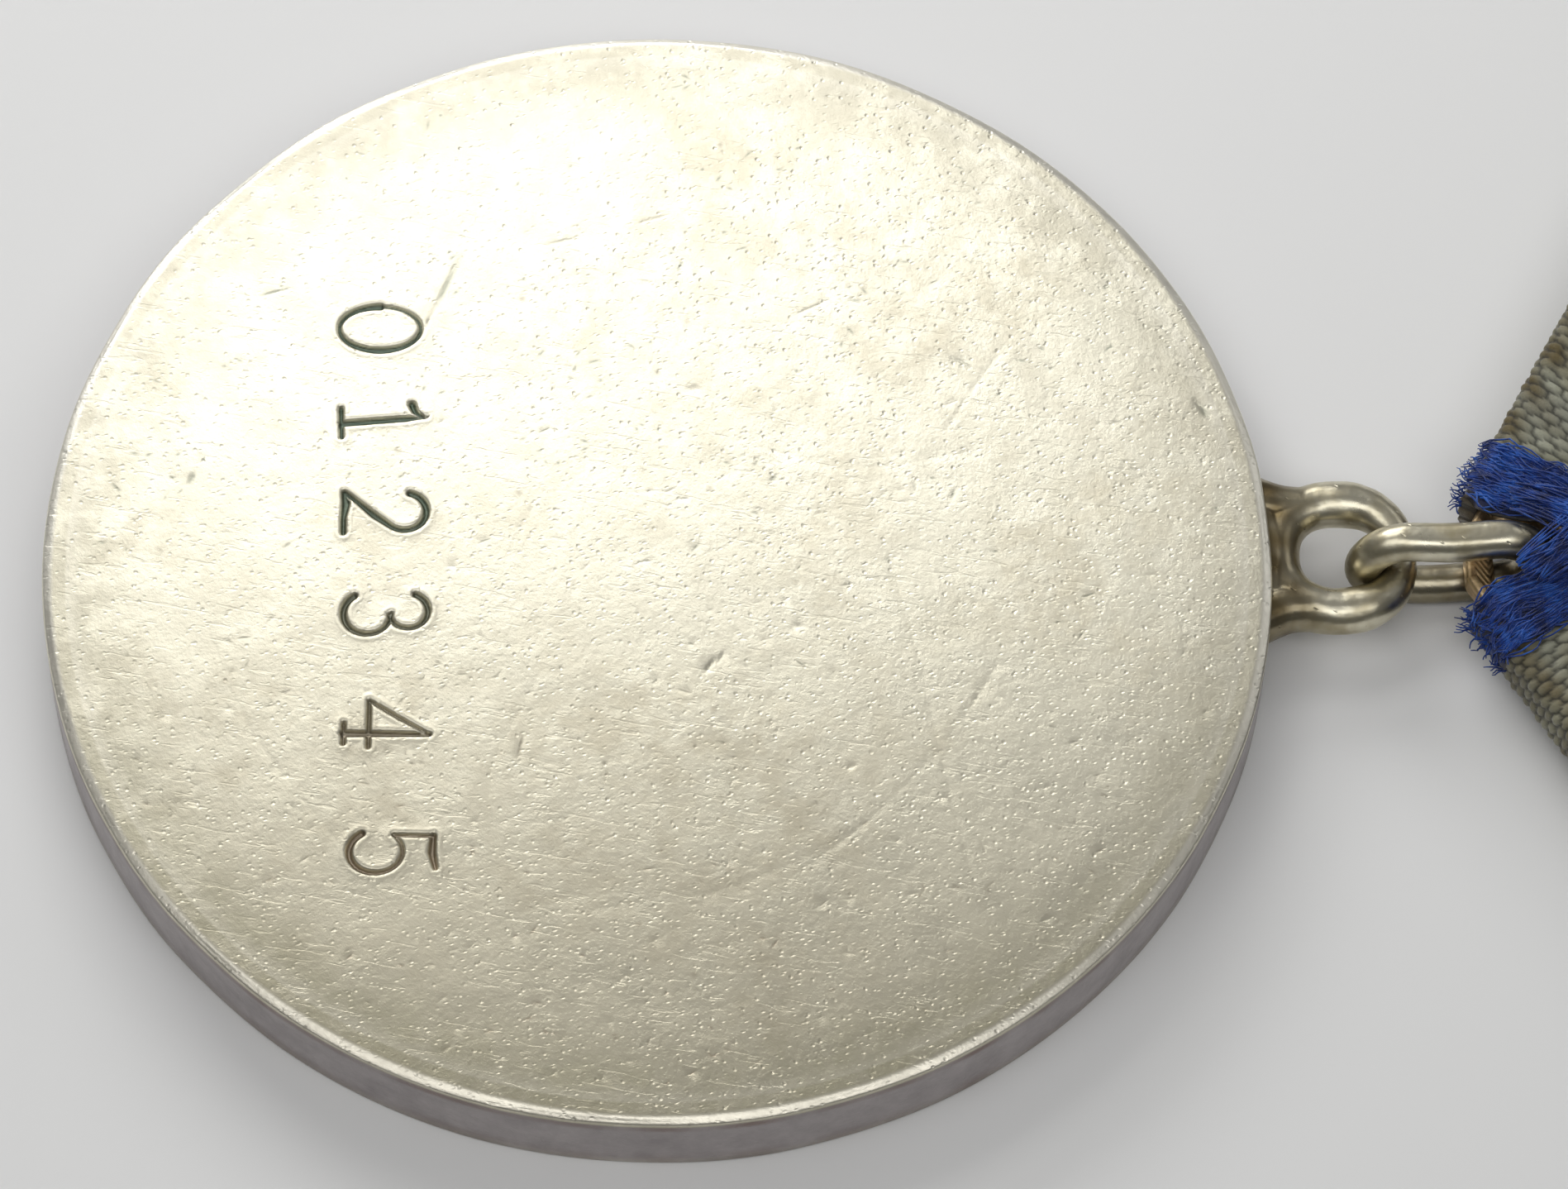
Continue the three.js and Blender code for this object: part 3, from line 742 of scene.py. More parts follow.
def obverse_relief(points):
    """A laurel wreath round a plain boss with fine rays: height out of the recess's floor."""
    r = np.hypot(points[:, 0], points[:, 1])
    a = np.arctan2(points[:, 1], points[:, 0])
    rays = smoothstep(r, RAYS_FROM, RAYS_FROM + 0.8) * smoothstep(-r, -RAYS_TO, -RAYS_TO + 0.6)
    relief = 0.05 * (0.5 + 0.5 * np.cos(a * RAYS)) * rays
    relief = np.maximum(relief, 0.24 * smoothstep(-np.abs(r - BOSS_RING_RADIUS), -0.35, -0.1))
    relief = np.maximum(relief, 0.20 * np.sqrt(np.clip(1 - (r / BOSS_RADIUS) ** 2, 0, 1)))
    place = a * BEADS / (2 * math.pi)
    beads = np.hypot(r - BEAD_CIRCLE, (place - np.round(place)) * 1.18)
    relief = np.maximum(relief, 0.28 * np.sqrt(np.clip(1 - (beads / BEAD_RADIUS) ** 2, 0, 1)))
    for branch in (1, -1):
        stem = 0.16 * smoothstep(-np.abs(r - WREATH_RADIUS), -0.22, -0.05) * (branch * np.sin(a) > 0.05)
        relief = np.maximum(relief, stem)
        for pair in range(LEAF_PAIRS):
            around = branch * math.radians(LEAF_FIRST + pair * LEAF_STEP)
            for lean, out in LEAVES:
                turn = around + branch * math.pi / 2 - branch * lean
                radius = WREATH_RADIUS + out
                x, y = radius * math.cos(around), radius * math.sin(around)
                near, body = leaf_height(points, x, y, turn, *LEAF)
                relief[near] = np.maximum(relief[near], body)
    return relief


def disc_profile():
    """Rows from the reverse's border down the side to the recess: inset, height, wall (the side wall's
    painted shade), worn, toned (a tarnish line at the wall's top, painted contact shade at its foot).
    """
    top = DISC_THICKNESS
    rows = []
    insets = WORN_EDGE * (1 - np.linspace(0, 1, BEVEL_STEPS + 1)) ** 1.6
    drop = 0.0
    for before, inset in zip(insets, insets[1:]):
        middle = (before + inset) / 2
        tilt = BEVEL_TILT * smoothstep(-middle, -0.38, -0.15)
        tilt += (BEVEL_LIP - BEVEL_TILT) * smoothstep(-middle, -0.07, 0.0)
        drop += math.tan(tilt) * (before - inset)
        worn = 0.9 * smoothstep(-inset, -0.36, -0.22) * (1 - 0.7 * smoothstep(-inset, -0.04, 0.0))
        rows.append((inset, top - drop, 0.0, worn, 0.0))
    for share in (0.03, 0.09, 0.16, 0.3, 0.45, 0.6, 0.75, 0.88):
        # The dark line at the wall's top is tarnish; the one on its lowest rows, where the disc meets the
        # floor, is painted contact shade.
        line = 0.9 if share < 0.1 else 0.45 if share > 0.8 else 0.0
        rows.append((0.0, (top - drop) * (1 - share) + OBVERSE_ROUND * share, 1.0, 0.0, line))
    # The round at the wall's foot carries the side wall's painted shade and painted contact shade.
    for a in (20, 45, 70, 90):
        c = math.radians(a)
        inset, height = OBVERSE_ROUND * (1 - math.cos(c)), OBVERSE_ROUND * (1 - math.sin(c))
        rows.append((inset, height, 0.7, 0.1, 0.5))
    rows.append((DISC_RIM_WIDTH * 0.5, 0.0, 0.0, 0.4, 0.0))
    rows.append((DISC_RIM_WIDTH - 0.08, 0.0, 0.0, 0.4, 0.0))
    rows.append((DISC_RIM_WIDTH, 0.05, 0.0, 0.2, 0.1))
    rows.append((DISC_RIM_WIDTH + 0.2, DISC_RIM_HEIGHT - 0.05, 0.0, 0.0, 0.5))
    rows.append((DISC_RIM_WIDTH + 0.3, DISC_RIM_HEIGHT, 0.0, 0.0, 0.5))
    return rows


def make_disc(material):
    count = DISC_STEPS
    turn = np.arange(count) * 2 * math.pi / count
    circle = np.column_stack([np.cos(turn), np.sin(turn)])
    marks = all_marks()
    hairlines = [curve_through(line, 0.16) for line in HAIRLINES]
    cap_radius = DISC_RADIUS - WORN_EDGE

    digits_low = (DIGIT_X - 1.8, min(DIGIT_PLACES) - 1.4)
    digits_high = (DIGIT_X + 1.9, max(DIGIT_PLACES) + 1.4)
    fine = hex_points(digits_low, digits_high, DIGIT_PITCH)
    fine = fine[np.abs(digits_distance(fine) - 0.02) < 0.19]
    extra = mark_points(marks, hairlines)
    extra = extra[digits_distance(extra) > 0.25]
    extra = extra[np.linalg.norm(extra, axis=1) < cap_radius - 0.05]
    coarse = hex_points((-cap_radius, -cap_radius), (cap_radius, cap_radius), CAP_PITCH)
    coarse = coarse[(np.linalg.norm(coarse, axis=1) < cap_radius - 0.15) & (digits_distance(coarse) > 0.25)]
    points, triangles = triangulated([circle * cap_radius], np.concatenate([fine, extra, coarse]))
    height, toned = reverse_height(points, marks, hairlines)
    inside = cap_radius - np.linalg.norm(points, axis=1)
    height *= smoothstep(inside, 0.0, 0.4)
    shells = [np.column_stack([points, DISC_THICKNESS + height])]
    faces = [tuple(face) for face in triangles]
    wall, worn, tone = [np.zeros(len(points))], [0.25 * (1 - smoothstep(inside, 0, 0.5))], [toned]

    previous, base = np.arange(count), len(points)
    wobble = lumps(circle * DISC_RADIUS, 5.0, 21) * 0.03
    patches = 0.6 + 0.4 * lumps(circle * DISC_RADIUS, 2.2, 8)
    for inset, z, wall_shade_share, worn_share, tarnish_and_shade_share in disc_profile():
        on_side = 0.1 < z < DISC_THICKNESS - 0.05
        share = min(1, 8 * (WORN_EDGE - min(inset, WORN_EDGE))) * on_side
        radius = np.minimum(DISC_RADIUS - inset + wobble * share, DISC_RADIUS)
        shells.append(np.column_stack([circle * radius[:, None], np.full(count, z)]))
        wall.append(np.full(count, wall_shade_share))
        worn.append(np.full(count, worn_share))
        tone.append(tarnish_and_shade_share * patches)
        here = base + np.arange(count)
        faces += belt(previous, here)
        previous, base = here, base + count

    floor_radius = DISC_RADIUS - DISC_RIM_WIDTH - 0.3
    inner = hex_points((-floor_radius, -floor_radius), (floor_radius, floor_radius), OBVERSE_PITCH)
    inner = inner[np.linalg.norm(inner, axis=1) < floor_radius - 0.1]
    points, triangles = triangulated([circle * floor_radius], inner)
    relief = obverse_relief(points)
    shells.append(np.column_stack([points, DISC_RIM_HEIGHT - relief])[count:])
    number = np.concatenate([previous, base + np.arange(len(inner))])
    faces += [(number[a], number[c], number[b]) for a, b, c in triangles]
    wall.append(np.zeros(len(inner)))
    worn.append(smoothstep(relief[count:], 0.12, 0.26) * 0.5)
    tone.append(smoothstep(-relief[count:], -0.06, 0.0) * 0.55)

    co = np.concatenate(shells)
    co[:, :2] += DISC_CENTRE
    shares = {"wall": np.concatenate(wall), "worn": np.concatenate(worn), "toned": np.concatenate(tone)}
    from_centre = np.linalg.norm(co[:, :2] - DISC_CENTRE, axis=1)
    on_reverse = co[:, 2] > DISC_THICKNESS - 0.4
    shares["rim"] = smoothstep(from_centre, DISC_RADIUS - 3.6, DISC_RADIUS - 0.6) * on_reverse
    disc = new_object("medal_disc_surface", co, [tuple(int(i) for i in f) for f in faces], shares)
    return finish_piece(disc, "medal", material, "silver", "medal_disc")


# ---------------------------------------------------------------- eyelet and ring
def superellipse(middle, half_x, half_y, power, z, count):
    turn = np.arange(count) * 2 * math.pi / count
    x = np.sign(np.cos(turn)) * np.abs(np.cos(turn)) ** (2 / power) * half_x
    y = np.sign(np.sin(turn)) * np.abs(np.sin(turn)) ** (2 / power) * half_y
    return np.column_stack([middle[0] + x, middle[1] + y, np.full(count, z)]), turn


def ball(centre, size, rings, sides):
    """A closed ellipsoid."""
    rows = [[centre[0], centre[1], centre[2] + size[2]]]
    for i in range(1, rings):
        a = math.pi * i / rings
        for k in range(sides):
            b = 2 * math.pi * k / sides
            rows.append([
                centre[0] + size[0] * math.sin(a) * math.cos(b),
                centre[1] + size[1] * math.sin(a) * math.sin(b), centre[2] + size[2] * math.cos(a),
            ])
    rows.append([centre[0], centre[1], centre[2] - size[2]])
    last = len(rows) - 1
    faces = [(0, 1 + k, 1 + (k + 1) % sides) for k in range(sides)]
    for i in range(rings - 2):
        for k in range(sides):
            m = (k + 1) % sides
            above, below = 1 + i * sides, 1 + (i + 1) * sides
            faces.append((above + k, below + k, below + m, above + m))
    lowest = 1 + (rings - 2) * sides
    faces += [(lowest + k, last, lowest + (k + 1) % sides) for k in range(sides)]
    return np.array(rows, float), faces


EYELET_WIRE = 1.44
EYELET_WORN_WIRE = 1.04
EYELET_WIDTH = 5.1
EYELET_SQUARENESS = 2.25
EYELET_FOOT = ((-0.6, 2.05), (-0.05, 1.82), (0.4, 1.68), (1.1, 1.66))
SOLDER = (0.86, 2.5, 0.84)      # half sizes of the lump that holds the eyelet to the disc
RING_WIRE = 1.1
RING_SWELL = 0.04


def make_eyelet(material):
    rim = DISC_CENTRE[0] + DISC_RADIUS
    middle_y = DISC_CENTRE[1]
    middle_z = (EYELET_LOW[2] + EYELET_HIGH[2]) / 2
    half_y = (EYELET_WIDTH - EYELET_WIRE) / 2
    apex = EYELET_HIGH[0] - EYELET_WORN_WIRE / 2
    middle_x = apex - half_y - 0.05
    middle = (middle_x, middle_y)
    path, turn = superellipse(middle, apex - middle_x, half_y, EYELET_SQUARENESS, middle_z, 128)
    worn = np.maximum(0, np.cos(turn)) ** 2
    radius = (EYELET_WIRE - (EYELET_WIRE - EYELET_WORN_WIRE) * worn) / 2
    shells = [tube(path, radius, 24, closed=True)]
    for side in (1, -1):
        foot = [(rim + x, middle_y + side * y, middle_z) for x, y in EYELET_FOOT]
        line = curve_through(foot, 0.12)
        shells.append(tube(line, np.linspace(0.84, 0.73, len(line)), 20))
    shells.append(ball((rim - 0.15, middle_y, middle_z), SOLDER, 16, 32))
    points, faces = remeshed(*join_shells(shells), 0.055, 7)
    normal = normals_of(points, faces)
    points = points + normal * (lumps(points, 1.3, 31) * 0.018 + lumps(points, 0.55, 32) * 0.005)[:, None]
    toned = smoothstep(-(points[:, 0] - rim), -1.9, -0.25) * 0.88
    toned = np.clip(toned + 0.22 * lumps(points, 0.9, 33), 0, 1)
    ringside = np.hypot(points[:, 0] - (EYELET_HIGH[0] - 1.0), points[:, 1])
    ringside += 0.5 * np.abs(points[:, 2] - middle_z)
    toned = np.maximum(toned, 0.7 * smoothstep(-ringside, -0.9, -0.3))
    points[:, 2] = np.maximum(points[:, 2], EYELET_LOW[2] - 0.05)
    eyelet = new_object("eyelet_loop", points, faces, {"toned": toned})
    return finish_piece(eyelet, "medal", material, "toned_silver", "eyelet")


def make_ring(material):
    length, _, height = RING_HIGH - RING_LOW
    end = (height - RING_WIRE) / 2
    middle = (RING_LOW + RING_HIGH) / 2
    straight = length - RING_WIRE - 2 * end
    total = 2 * (straight + math.pi * end)
    path = []
    for s in np.arange(220) / 220 * total:
        if s < math.pi * end:
            a = -math.pi / 2 + s / end
            x, z = straight / 2 + end * math.cos(a), end * math.sin(a)
        elif s < math.pi * end + straight:
            x, z = straight / 2 - (s - math.pi * end), end
        elif s < 2 * math.pi * end + straight:
            a = math.pi / 2 + (s - math.pi * end - straight) / end
            x, z = -straight / 2 + end * math.cos(a), end * math.sin(a)
        else:
            x, z = -straight / 2 + (s - 2 * math.pi * end - straight), -end
        path.append((middle[0] + x, middle[1] + 0.03 * math.sin(2 * s), middle[2] + z))
    points, faces = tube(path, RING_WIRE / 2 + RING_SWELL, 28, closed=True)
    normal = normals_of(points, faces)
    points = points + normal * (lumps(points, 2.2, 41) * 0.014 + lumps(points, 0.8, 42) * 0.004)[:, None]
    points[:, 2] = np.clip(points[:, 2], 0.0, RING_HIGH[2])
    centre = np.array([EYELET_HIGH[0] - 0.55, 0.3, 1.8])
    toned = 0.75 * smoothstep(-np.linalg.norm(points - centre, axis=1), -1.25, -0.5)
    # Painted shade: the ring's lower part is darkened through toned, standing in for the dark reflection of
    # the plate and threads below it.
    inside = smoothstep(-points[:, 2], -2.2, -0.9) * 0.6
    toned = np.clip(np.maximum(toned, inside) + 0.12 * lumps(points, 1.0, 43), 0, 1)
    ring = new_object("connecting_ring_wire", points, faces, {"toned": toned})
    return finish_piece(ring, "ring", material, "toned_silver", "connecting_ring")


# ---------------------------------------------------------------- the mount's plate
def rounded_outline(corners, radius, pitch):
    """Points and outward normals round a polygon, counter-clockwise, with rounded corners."""
    corners = np.asarray(corners, float)
    count = len(corners)
    points, normals = [], []
    for i in range(count):
        before, here, after = corners[i - 1], corners[i], corners[(i + 1) % count]
        a = (here - before) / np.linalg.norm(here - before)
        b = (after - here) / np.linalg.norm(after - here)
        bend = math.acos(np.clip(a @ b, -1, 1))
        cut = radius * math.tan(bend / 2)
        start_angle = math.atan2(-a[0], a[1])
        centre = here - a * cut + np.array([-a[1], a[0]]) * radius
        steps = max(3, int(bend * radius / pitch))
        for step in range(steps + 1):
            angle = start_angle + bend * step / steps
            n = np.array([math.cos(angle), math.sin(angle)])
            points.append(centre + n * radius)
            normals.append(n)
        beyond = corners[(i + 2) % count] - after
        next_bend = math.acos(np.clip(b @ beyond / np.linalg.norm(beyond), -1, 1))
        first = here + b * cut
        last = after - b * radius * math.tan(next_bend / 2)
        run = np.linalg.norm(last - first)
        steps = int(run / pitch)
        for step in range(1, steps):
            points.append(first + (last - first) * step / steps)
            normals.append(np.array([b[1], -b[0]]))
    return np.array(points), np.array(normals)


RIDGE_PITCH = 0.13
RIDGE_HEIGHT = 0.014
PLATE_EDGE = 0.16


def tip_ridges(points):
    """Fine diagonal file marks across the plate's tip."""
    from_tip = np.hypot(points[:, 0] - TIP_X, points[:, 1])
    phase = (points[:, 0] * 0.85 + points[:, 1] * 0.55) / RIDGE_PITCH
    return RIDGE_HEIGHT * np.sin(2 * math.pi * phase) * smoothstep(-from_tip, -2.6, -1.6)


def make_plate(material):
    corners = [
        (TIP_X, -TIP_HALF), (SHOULDER_X, -SHOULDER_Y), (TOP_X, -TOP_HALF),
        (TOP_X, TOP_HALF), (SHOULDER_X, SHOULDER_Y), (TIP_X, TIP_HALF),
    ]
    outline, normals = rounded_outline(corners, 0.4, 0.35)
    hole_start = TIP_X + BRIDGE
    half = HOLE_WIDTH / 2
    hole_corners = [(hole_start, -half), (HOLE_END_X, -half), (HOLE_END_X, half), (hole_start, half)]
    hole, hole_normals = rounded_outline(hole_corners, 0.45, 0.12)
    middle = (PLATE_LOW[2] + PLATE_HIGH[2]) / 2
    thick = (PLATE_HIGH[2] - PLATE_LOW[2]) / 2
    edge = PLATE_EDGE
    profile = []
    for a in (0, 30, 60, 90):
        c = math.radians(a)
        profile.append((edge * (1 - math.sin(c)), thick - edge * (1 - math.cos(c))))
    profile += [(0, 0.1), (0, -0.1)]
    profile += [(inset, -z) for inset, z in reversed(profile[:4])]

    def inside_points(pitch_far, pitch_near):
        far = hex_points(PLATE_LOW[:2], PLATE_HIGH[:2], pitch_far)
        near = hex_points((TIP_X, -2.6), (TIP_X + 3.6, 2.6), pitch_near)
        near_mask = (far[:, 0] > TIP_X + 3.7) | (np.abs(far[:, 1]) > 2.7)
        every = np.concatenate([far[near_mask], near])
        keep = np.ones(len(every), bool)
        for a, b in zip(corners, corners[1:] + corners[:1]):
            along = np.array(b) - a
            along = along / np.linalg.norm(along)
            keep &= (along[0] * (every[:, 1] - a[1]) - along[1] * (every[:, 0] - a[0])) > edge + 0.12
        in_hole = (np.abs(every[:, 0] - (hole_start + HOLE_END_X) / 2) < HOLE_LENGTH / 2 + edge + 0.06)
        in_hole &= np.abs(every[:, 1]) < half + edge + 0.06
        return every[keep & ~in_hole]

    inner = inside_points(0.8, 0.045)
    border = outline - normals * edge
    hole_border = hole + hole_normals * edge
    points, triangles = triangulated([border, hole_border], inner)
    centroid = points[triangles].mean(1)
    in_hole = (centroid[:, 0] > hole_start - edge * 0.9) & (centroid[:, 0] < HOLE_END_X + edge * 0.9)
    in_hole &= np.abs(centroid[:, 1]) < half + edge * 0.9
    all_in_hole = (triangles >= len(border)).all(1) & (triangles < len(border) + len(hole_border)).all(1)
    triangles = triangles[~(in_hole & all_in_hole)]
    one, two = (points[triangles[:, k]] - points[triangles[:, 0]] for k in (1, 2))
    triangles = triangles[one[:, 0] * two[:, 1] - one[:, 1] * two[:, 0] > SLIVER]
    relief = tip_ridges(points) + lumps(points, 14.0, 51) * 0.02
    relief[: len(border) + len(hole_border)] = 0
    top = np.column_stack([points, middle + thick + relief])
    bottom = np.column_stack([points, np.full(len(points), middle - thick)])
    shells = [top, bottom]
    faces = [tuple(f) for f in triangles]
    faces += [(a + len(points), c + len(points), b + len(points)) for a, b, c in triangles]
    base = 2 * len(points)
    worn = [np.zeros(len(points)), np.zeros(len(points))]
    for loop, loop_normals, out, first in ((outline, normals, 1, 0), (hole, hole_normals, -1, len(border))):
        size = len(loop)
        previous = first + np.arange(size)
        for row, (inset, z) in enumerate(profile[1:-1], 1):
            where = loop - loop_normals * inset * out
            shells.append(np.column_stack([where, np.full(size, middle + z)]))
            worn.append(np.full(size, 0.7 if row in (1, 2, 3) else 0.15))
            here = base + np.arange(size)
            faces += belt(previous, here, out > 0)
            previous, base = here, base + size
        faces += belt(previous, len(points) + first + np.arange(size), out > 0)
    co = np.concatenate(shells)
    worn = np.concatenate(worn)
    ridge = tip_ridges(co[:, :2]) / RIDGE_HEIGHT
    toned = smoothstep(-ridge, 0.2, 0.9) * 0.7
    worn = np.maximum(worn, smoothstep(ridge, 0.4, 1.0) * 0.8)
    faces = [tuple(int(i) for i in face) for face in faces]
    plate = new_object("plate_sheet", co, faces, {"worn": worn, "toned": toned})
    return finish_piece(plate, "mount", material, "brass", "mount_plate")


# ---------------------------------------------------------------- the ribbon
STRIPE_WIDTH = 1.9
FLOAT_LENGTH = 0.68
FLOAT_WIDTH = 0.32
FLOAT_HEIGHT = 0.11
ACROSS_STEP = 0.085
ALONG_STEP = 0.125
FOLD_STEP = 0.11
EDGE_BOW = 0.88
EDGE_BOW_WIDTH = 1.5
EDGE_BOW_LENGTH = 2.9
BAND_SOIL = 0.08
FRAY_THREADS = 400
STANDING_THREADS = 80
BUNDLE_THREADS = 170


def weave(across, along):
    """Height of the silk's floats, 0 to 1, with each float's own shade and how deep its gap is, which
    darkens the colour as painted shade.
    """
    rng = np.random.default_rng(61)
    table = rng.uniform(0, 1, (97, 131))
    in_stripe = (across < STRIPE_WIDTH) | (across > RIBBON_WIDTH - STRIPE_WIDTH)
    width = np.where(in_stripe, FLOAT_WIDTH * 0.62, FLOAT_WIDTH)
    length = np.where(in_stripe, FLOAT_LENGTH * 1.5, FLOAT_LENGTH)
    sway = 0.05 * np.sin(along * 0.9 + across * 0.35) + 0.03 * np.sin(along * 2.3)
    row = np.floor((across + sway) / width)
    shift = table[(row % 97).astype(int), 0] * 0.24
    position = along / length + 0.5 * (row % 2) + shift
    number = np.floor(position)
    a = 2 * (position - number) - 1
    b = 2 * ((across + sway) / width - row) - 1
    own = table[(row % 97).astype(int), (number % 131).astype(int)]
    body = np.clip(1 - np.abs(a) ** 1.8 - b * b, 0, 1) ** 0.55
    height = body * (0.75 + 0.35 * own)
    gap = 1 - smoothstep(body, 0.0, 0.72)
    return height, 0.25 + 0.6 * own, gap


def sheet_faces(rows, columns):
    """Faces of a closed sheet: an outer grid, an inner grid after it, and the rim between them."""
    size = rows * columns
    i, j = np.meshgrid(np.arange(rows - 1), np.arange(columns - 1), indexing="ij")
    a = (i * columns + j).ravel()
    outer = np.column_stack([a, a + 1, a + columns + 1, a + columns])
    inner = outer[:, ::-1] + size
    number = np.arange(size).reshape(rows, columns)
    rim = np.concatenate([number[0], number[1:, -1], number[-1, -2::-1], number[-2:0:-1, 0]])
    after = np.roll(rim, -1)
    walls = np.column_stack([rim, rim + size, after + size, after])
    return outer, inner, walls


def ribbon_piece(node, outer, normal, across, along, soil_and_shade, material, flip):
    """The sheet that replaces node, from its outside surface (rows, columns, 3), with woven floats."""
    rows, columns = across.shape
    height, shade, gap = weave(across, along)
    border = np.ones((rows, columns))
    border[0] = border[-1] = 0.4
    outside = outer - normal * (FLOAT_HEIGHT * (1 - height * border))[..., None]
    inside = outer - normal * (RIBBON_THICKNESS - 0.02)
    points = np.concatenate([outside.reshape(-1, 3), inside.reshape(-1, 3)])
    first, second, walls = sheet_faces(rows, columns)
    faces = np.concatenate([first, second, walls])
    if flip:
        faces = faces[:, ::-1]
    from_edge = np.minimum(across, RIBBON_WIDTH - across)
    stripe = 1 - smoothstep(from_edge, STRIPE_WIDTH - 0.12, STRIPE_WIDTH + 0.12)
    shares = {"bead": shade, "gap": gap * 0.9, "blue": stripe, "soil_and_shade": soil_and_shade}
    shares = {key: np.tile(values.ravel(), 2) for key, values in shares.items()}
    piece = new_object(node + "_cloth", points, faces.tolist(), shares)
    return finish_piece(piece, "mount", material, "ribbon", node)


def fold_profile(w, low, high):
    """Outside of a fold at length w along it: outward reach, height and normal (outward, up)."""
    quarter = FOLD_ROUND * math.pi / 2
    wall = high - low - 2 * FOLD_ROUND
    u0 = FOLD_REACH - FOLD_ROUND
    if w < quarter:
        a = w / FOLD_ROUND
        return u0 + FOLD_ROUND * math.sin(a), low + FOLD_ROUND * (1 - math.cos(a)), math.sin(a), -math.cos(a)
    if w < quarter + wall:
        return FOLD_REACH, low + FOLD_ROUND + w - quarter, 1.0, 0.0
    a = math.pi / 2 + (w - quarter - wall) / FOLD_ROUND
    return u0 + FOLD_ROUND * math.sin(a), high - FOLD_ROUND * (1 + math.cos(a)), math.sin(a), -math.cos(a)


def inside_other_leg(x, y, side):
    """How much of a point lies over the other wing's leg, from 0 to 1."""
    edge, _, leg, _ = wing_axes(-side)
    start = np.array([TIP_X, -side * TIP_HALF])
    rel = np.stack([x - start[0], y - start[1]], -1)
    det = edge[0] * leg[1] - edge[1] * leg[0]
    s = (rel[..., 0] * leg[1] - rel[..., 1] * leg[0]) / det
    t = (edge[0] * rel[..., 1] - edge[1] * rel[..., 0]) / det
    share = smoothstep(s, LEG_START - 1.6, LEG_START + 0.1) * smoothstep(-s, -LEG_END - 1.8, -LEG_END)
    return share * smoothstep(t, -1.2, 0.2) * smoothstep(-t, -LEG_LENGTH - 1.8, -LEG_LENGTH)


class FoldedSheet:
    """Rows of a ribbon's outside: from the front's far end to start, then round the fold to the back."""

    def __init__(self, start, out, front, reach, steps, low, high, soil_and_shade, fold_soil_and_shade):
        self.places, self.normals, self.along, self.soil_and_shade = [], [], [], []
        self.fold_length = FOLD_ROUND * math.pi + high - low - 2 * FOLD_ROUND
        for share in np.linspace(1, 0, steps)[:-1]:
            t = share * reach
            self.add(start + t[:, None] * front, low, (0, 0, -1), -t, soil_and_shade)
        for w in np.linspace(0, self.fold_length, int(self.fold_length / FOLD_STEP)):
            u, z, n_out, n_up = fold_profile(w, low, high)
            xy = start + out * (u - FOLD_REACH + FOLD_ROUND)
            self.add(xy, z, (*(out * n_out), n_up), w, fold_soil_and_shade)

    def add(self, xy, z, normal, along, soil_and_shade):
        count = len(xy)
        self.places.append(np.column_stack([xy, np.full(count, z)]))
        self.normals.append(np.tile(normal, (count, 1)))
        self.along.append(np.broadcast_to(along, count))
        self.soil_and_shade.append(np.full(count, soil_and_shade))

    def arrays(self):
        return [np.array(rows, float) for rows in (self.places, self.normals, self.along, self.soil_and_shade)]


def ripple(outer, low, high, depth, wavelength, seed, sink):
    """Shallow waves on the back of a sheet."""
    wave = depth * lumps(outer[..., :2].reshape(-1, 2), wavelength, seed).reshape(outer.shape[:2])
    outer[..., 2] += np.where(outer[..., 2] > (low + high) / 2, wave - sink, 0)


def wing_axes(side):
    """Along the plate's edge, out from it, along the leg and across the leg."""
    edge = np.array([math.cos(V_ANGLE), side * math.sin(V_ANGLE)])
    out = np.array([-math.sin(V_ANGLE), side * math.cos(V_ANGLE)])
    leg = np.array([math.cos(LEG_ANGLE), -side * math.sin(LEG_ANGLE)])
    aside = np.array([math.sin(LEG_ANGLE), side * math.cos(LEG_ANGLE)])
    return edge, out, leg, aside


def edge_bow(across, t):
    """How far a leg's lower edge is pulled aside, at length t behind the fold."""
    return EDGE_BOW * np.exp(-across / EDGE_BOW_WIDTH) * smoothstep(t, 0, EDGE_BOW_LENGTH)


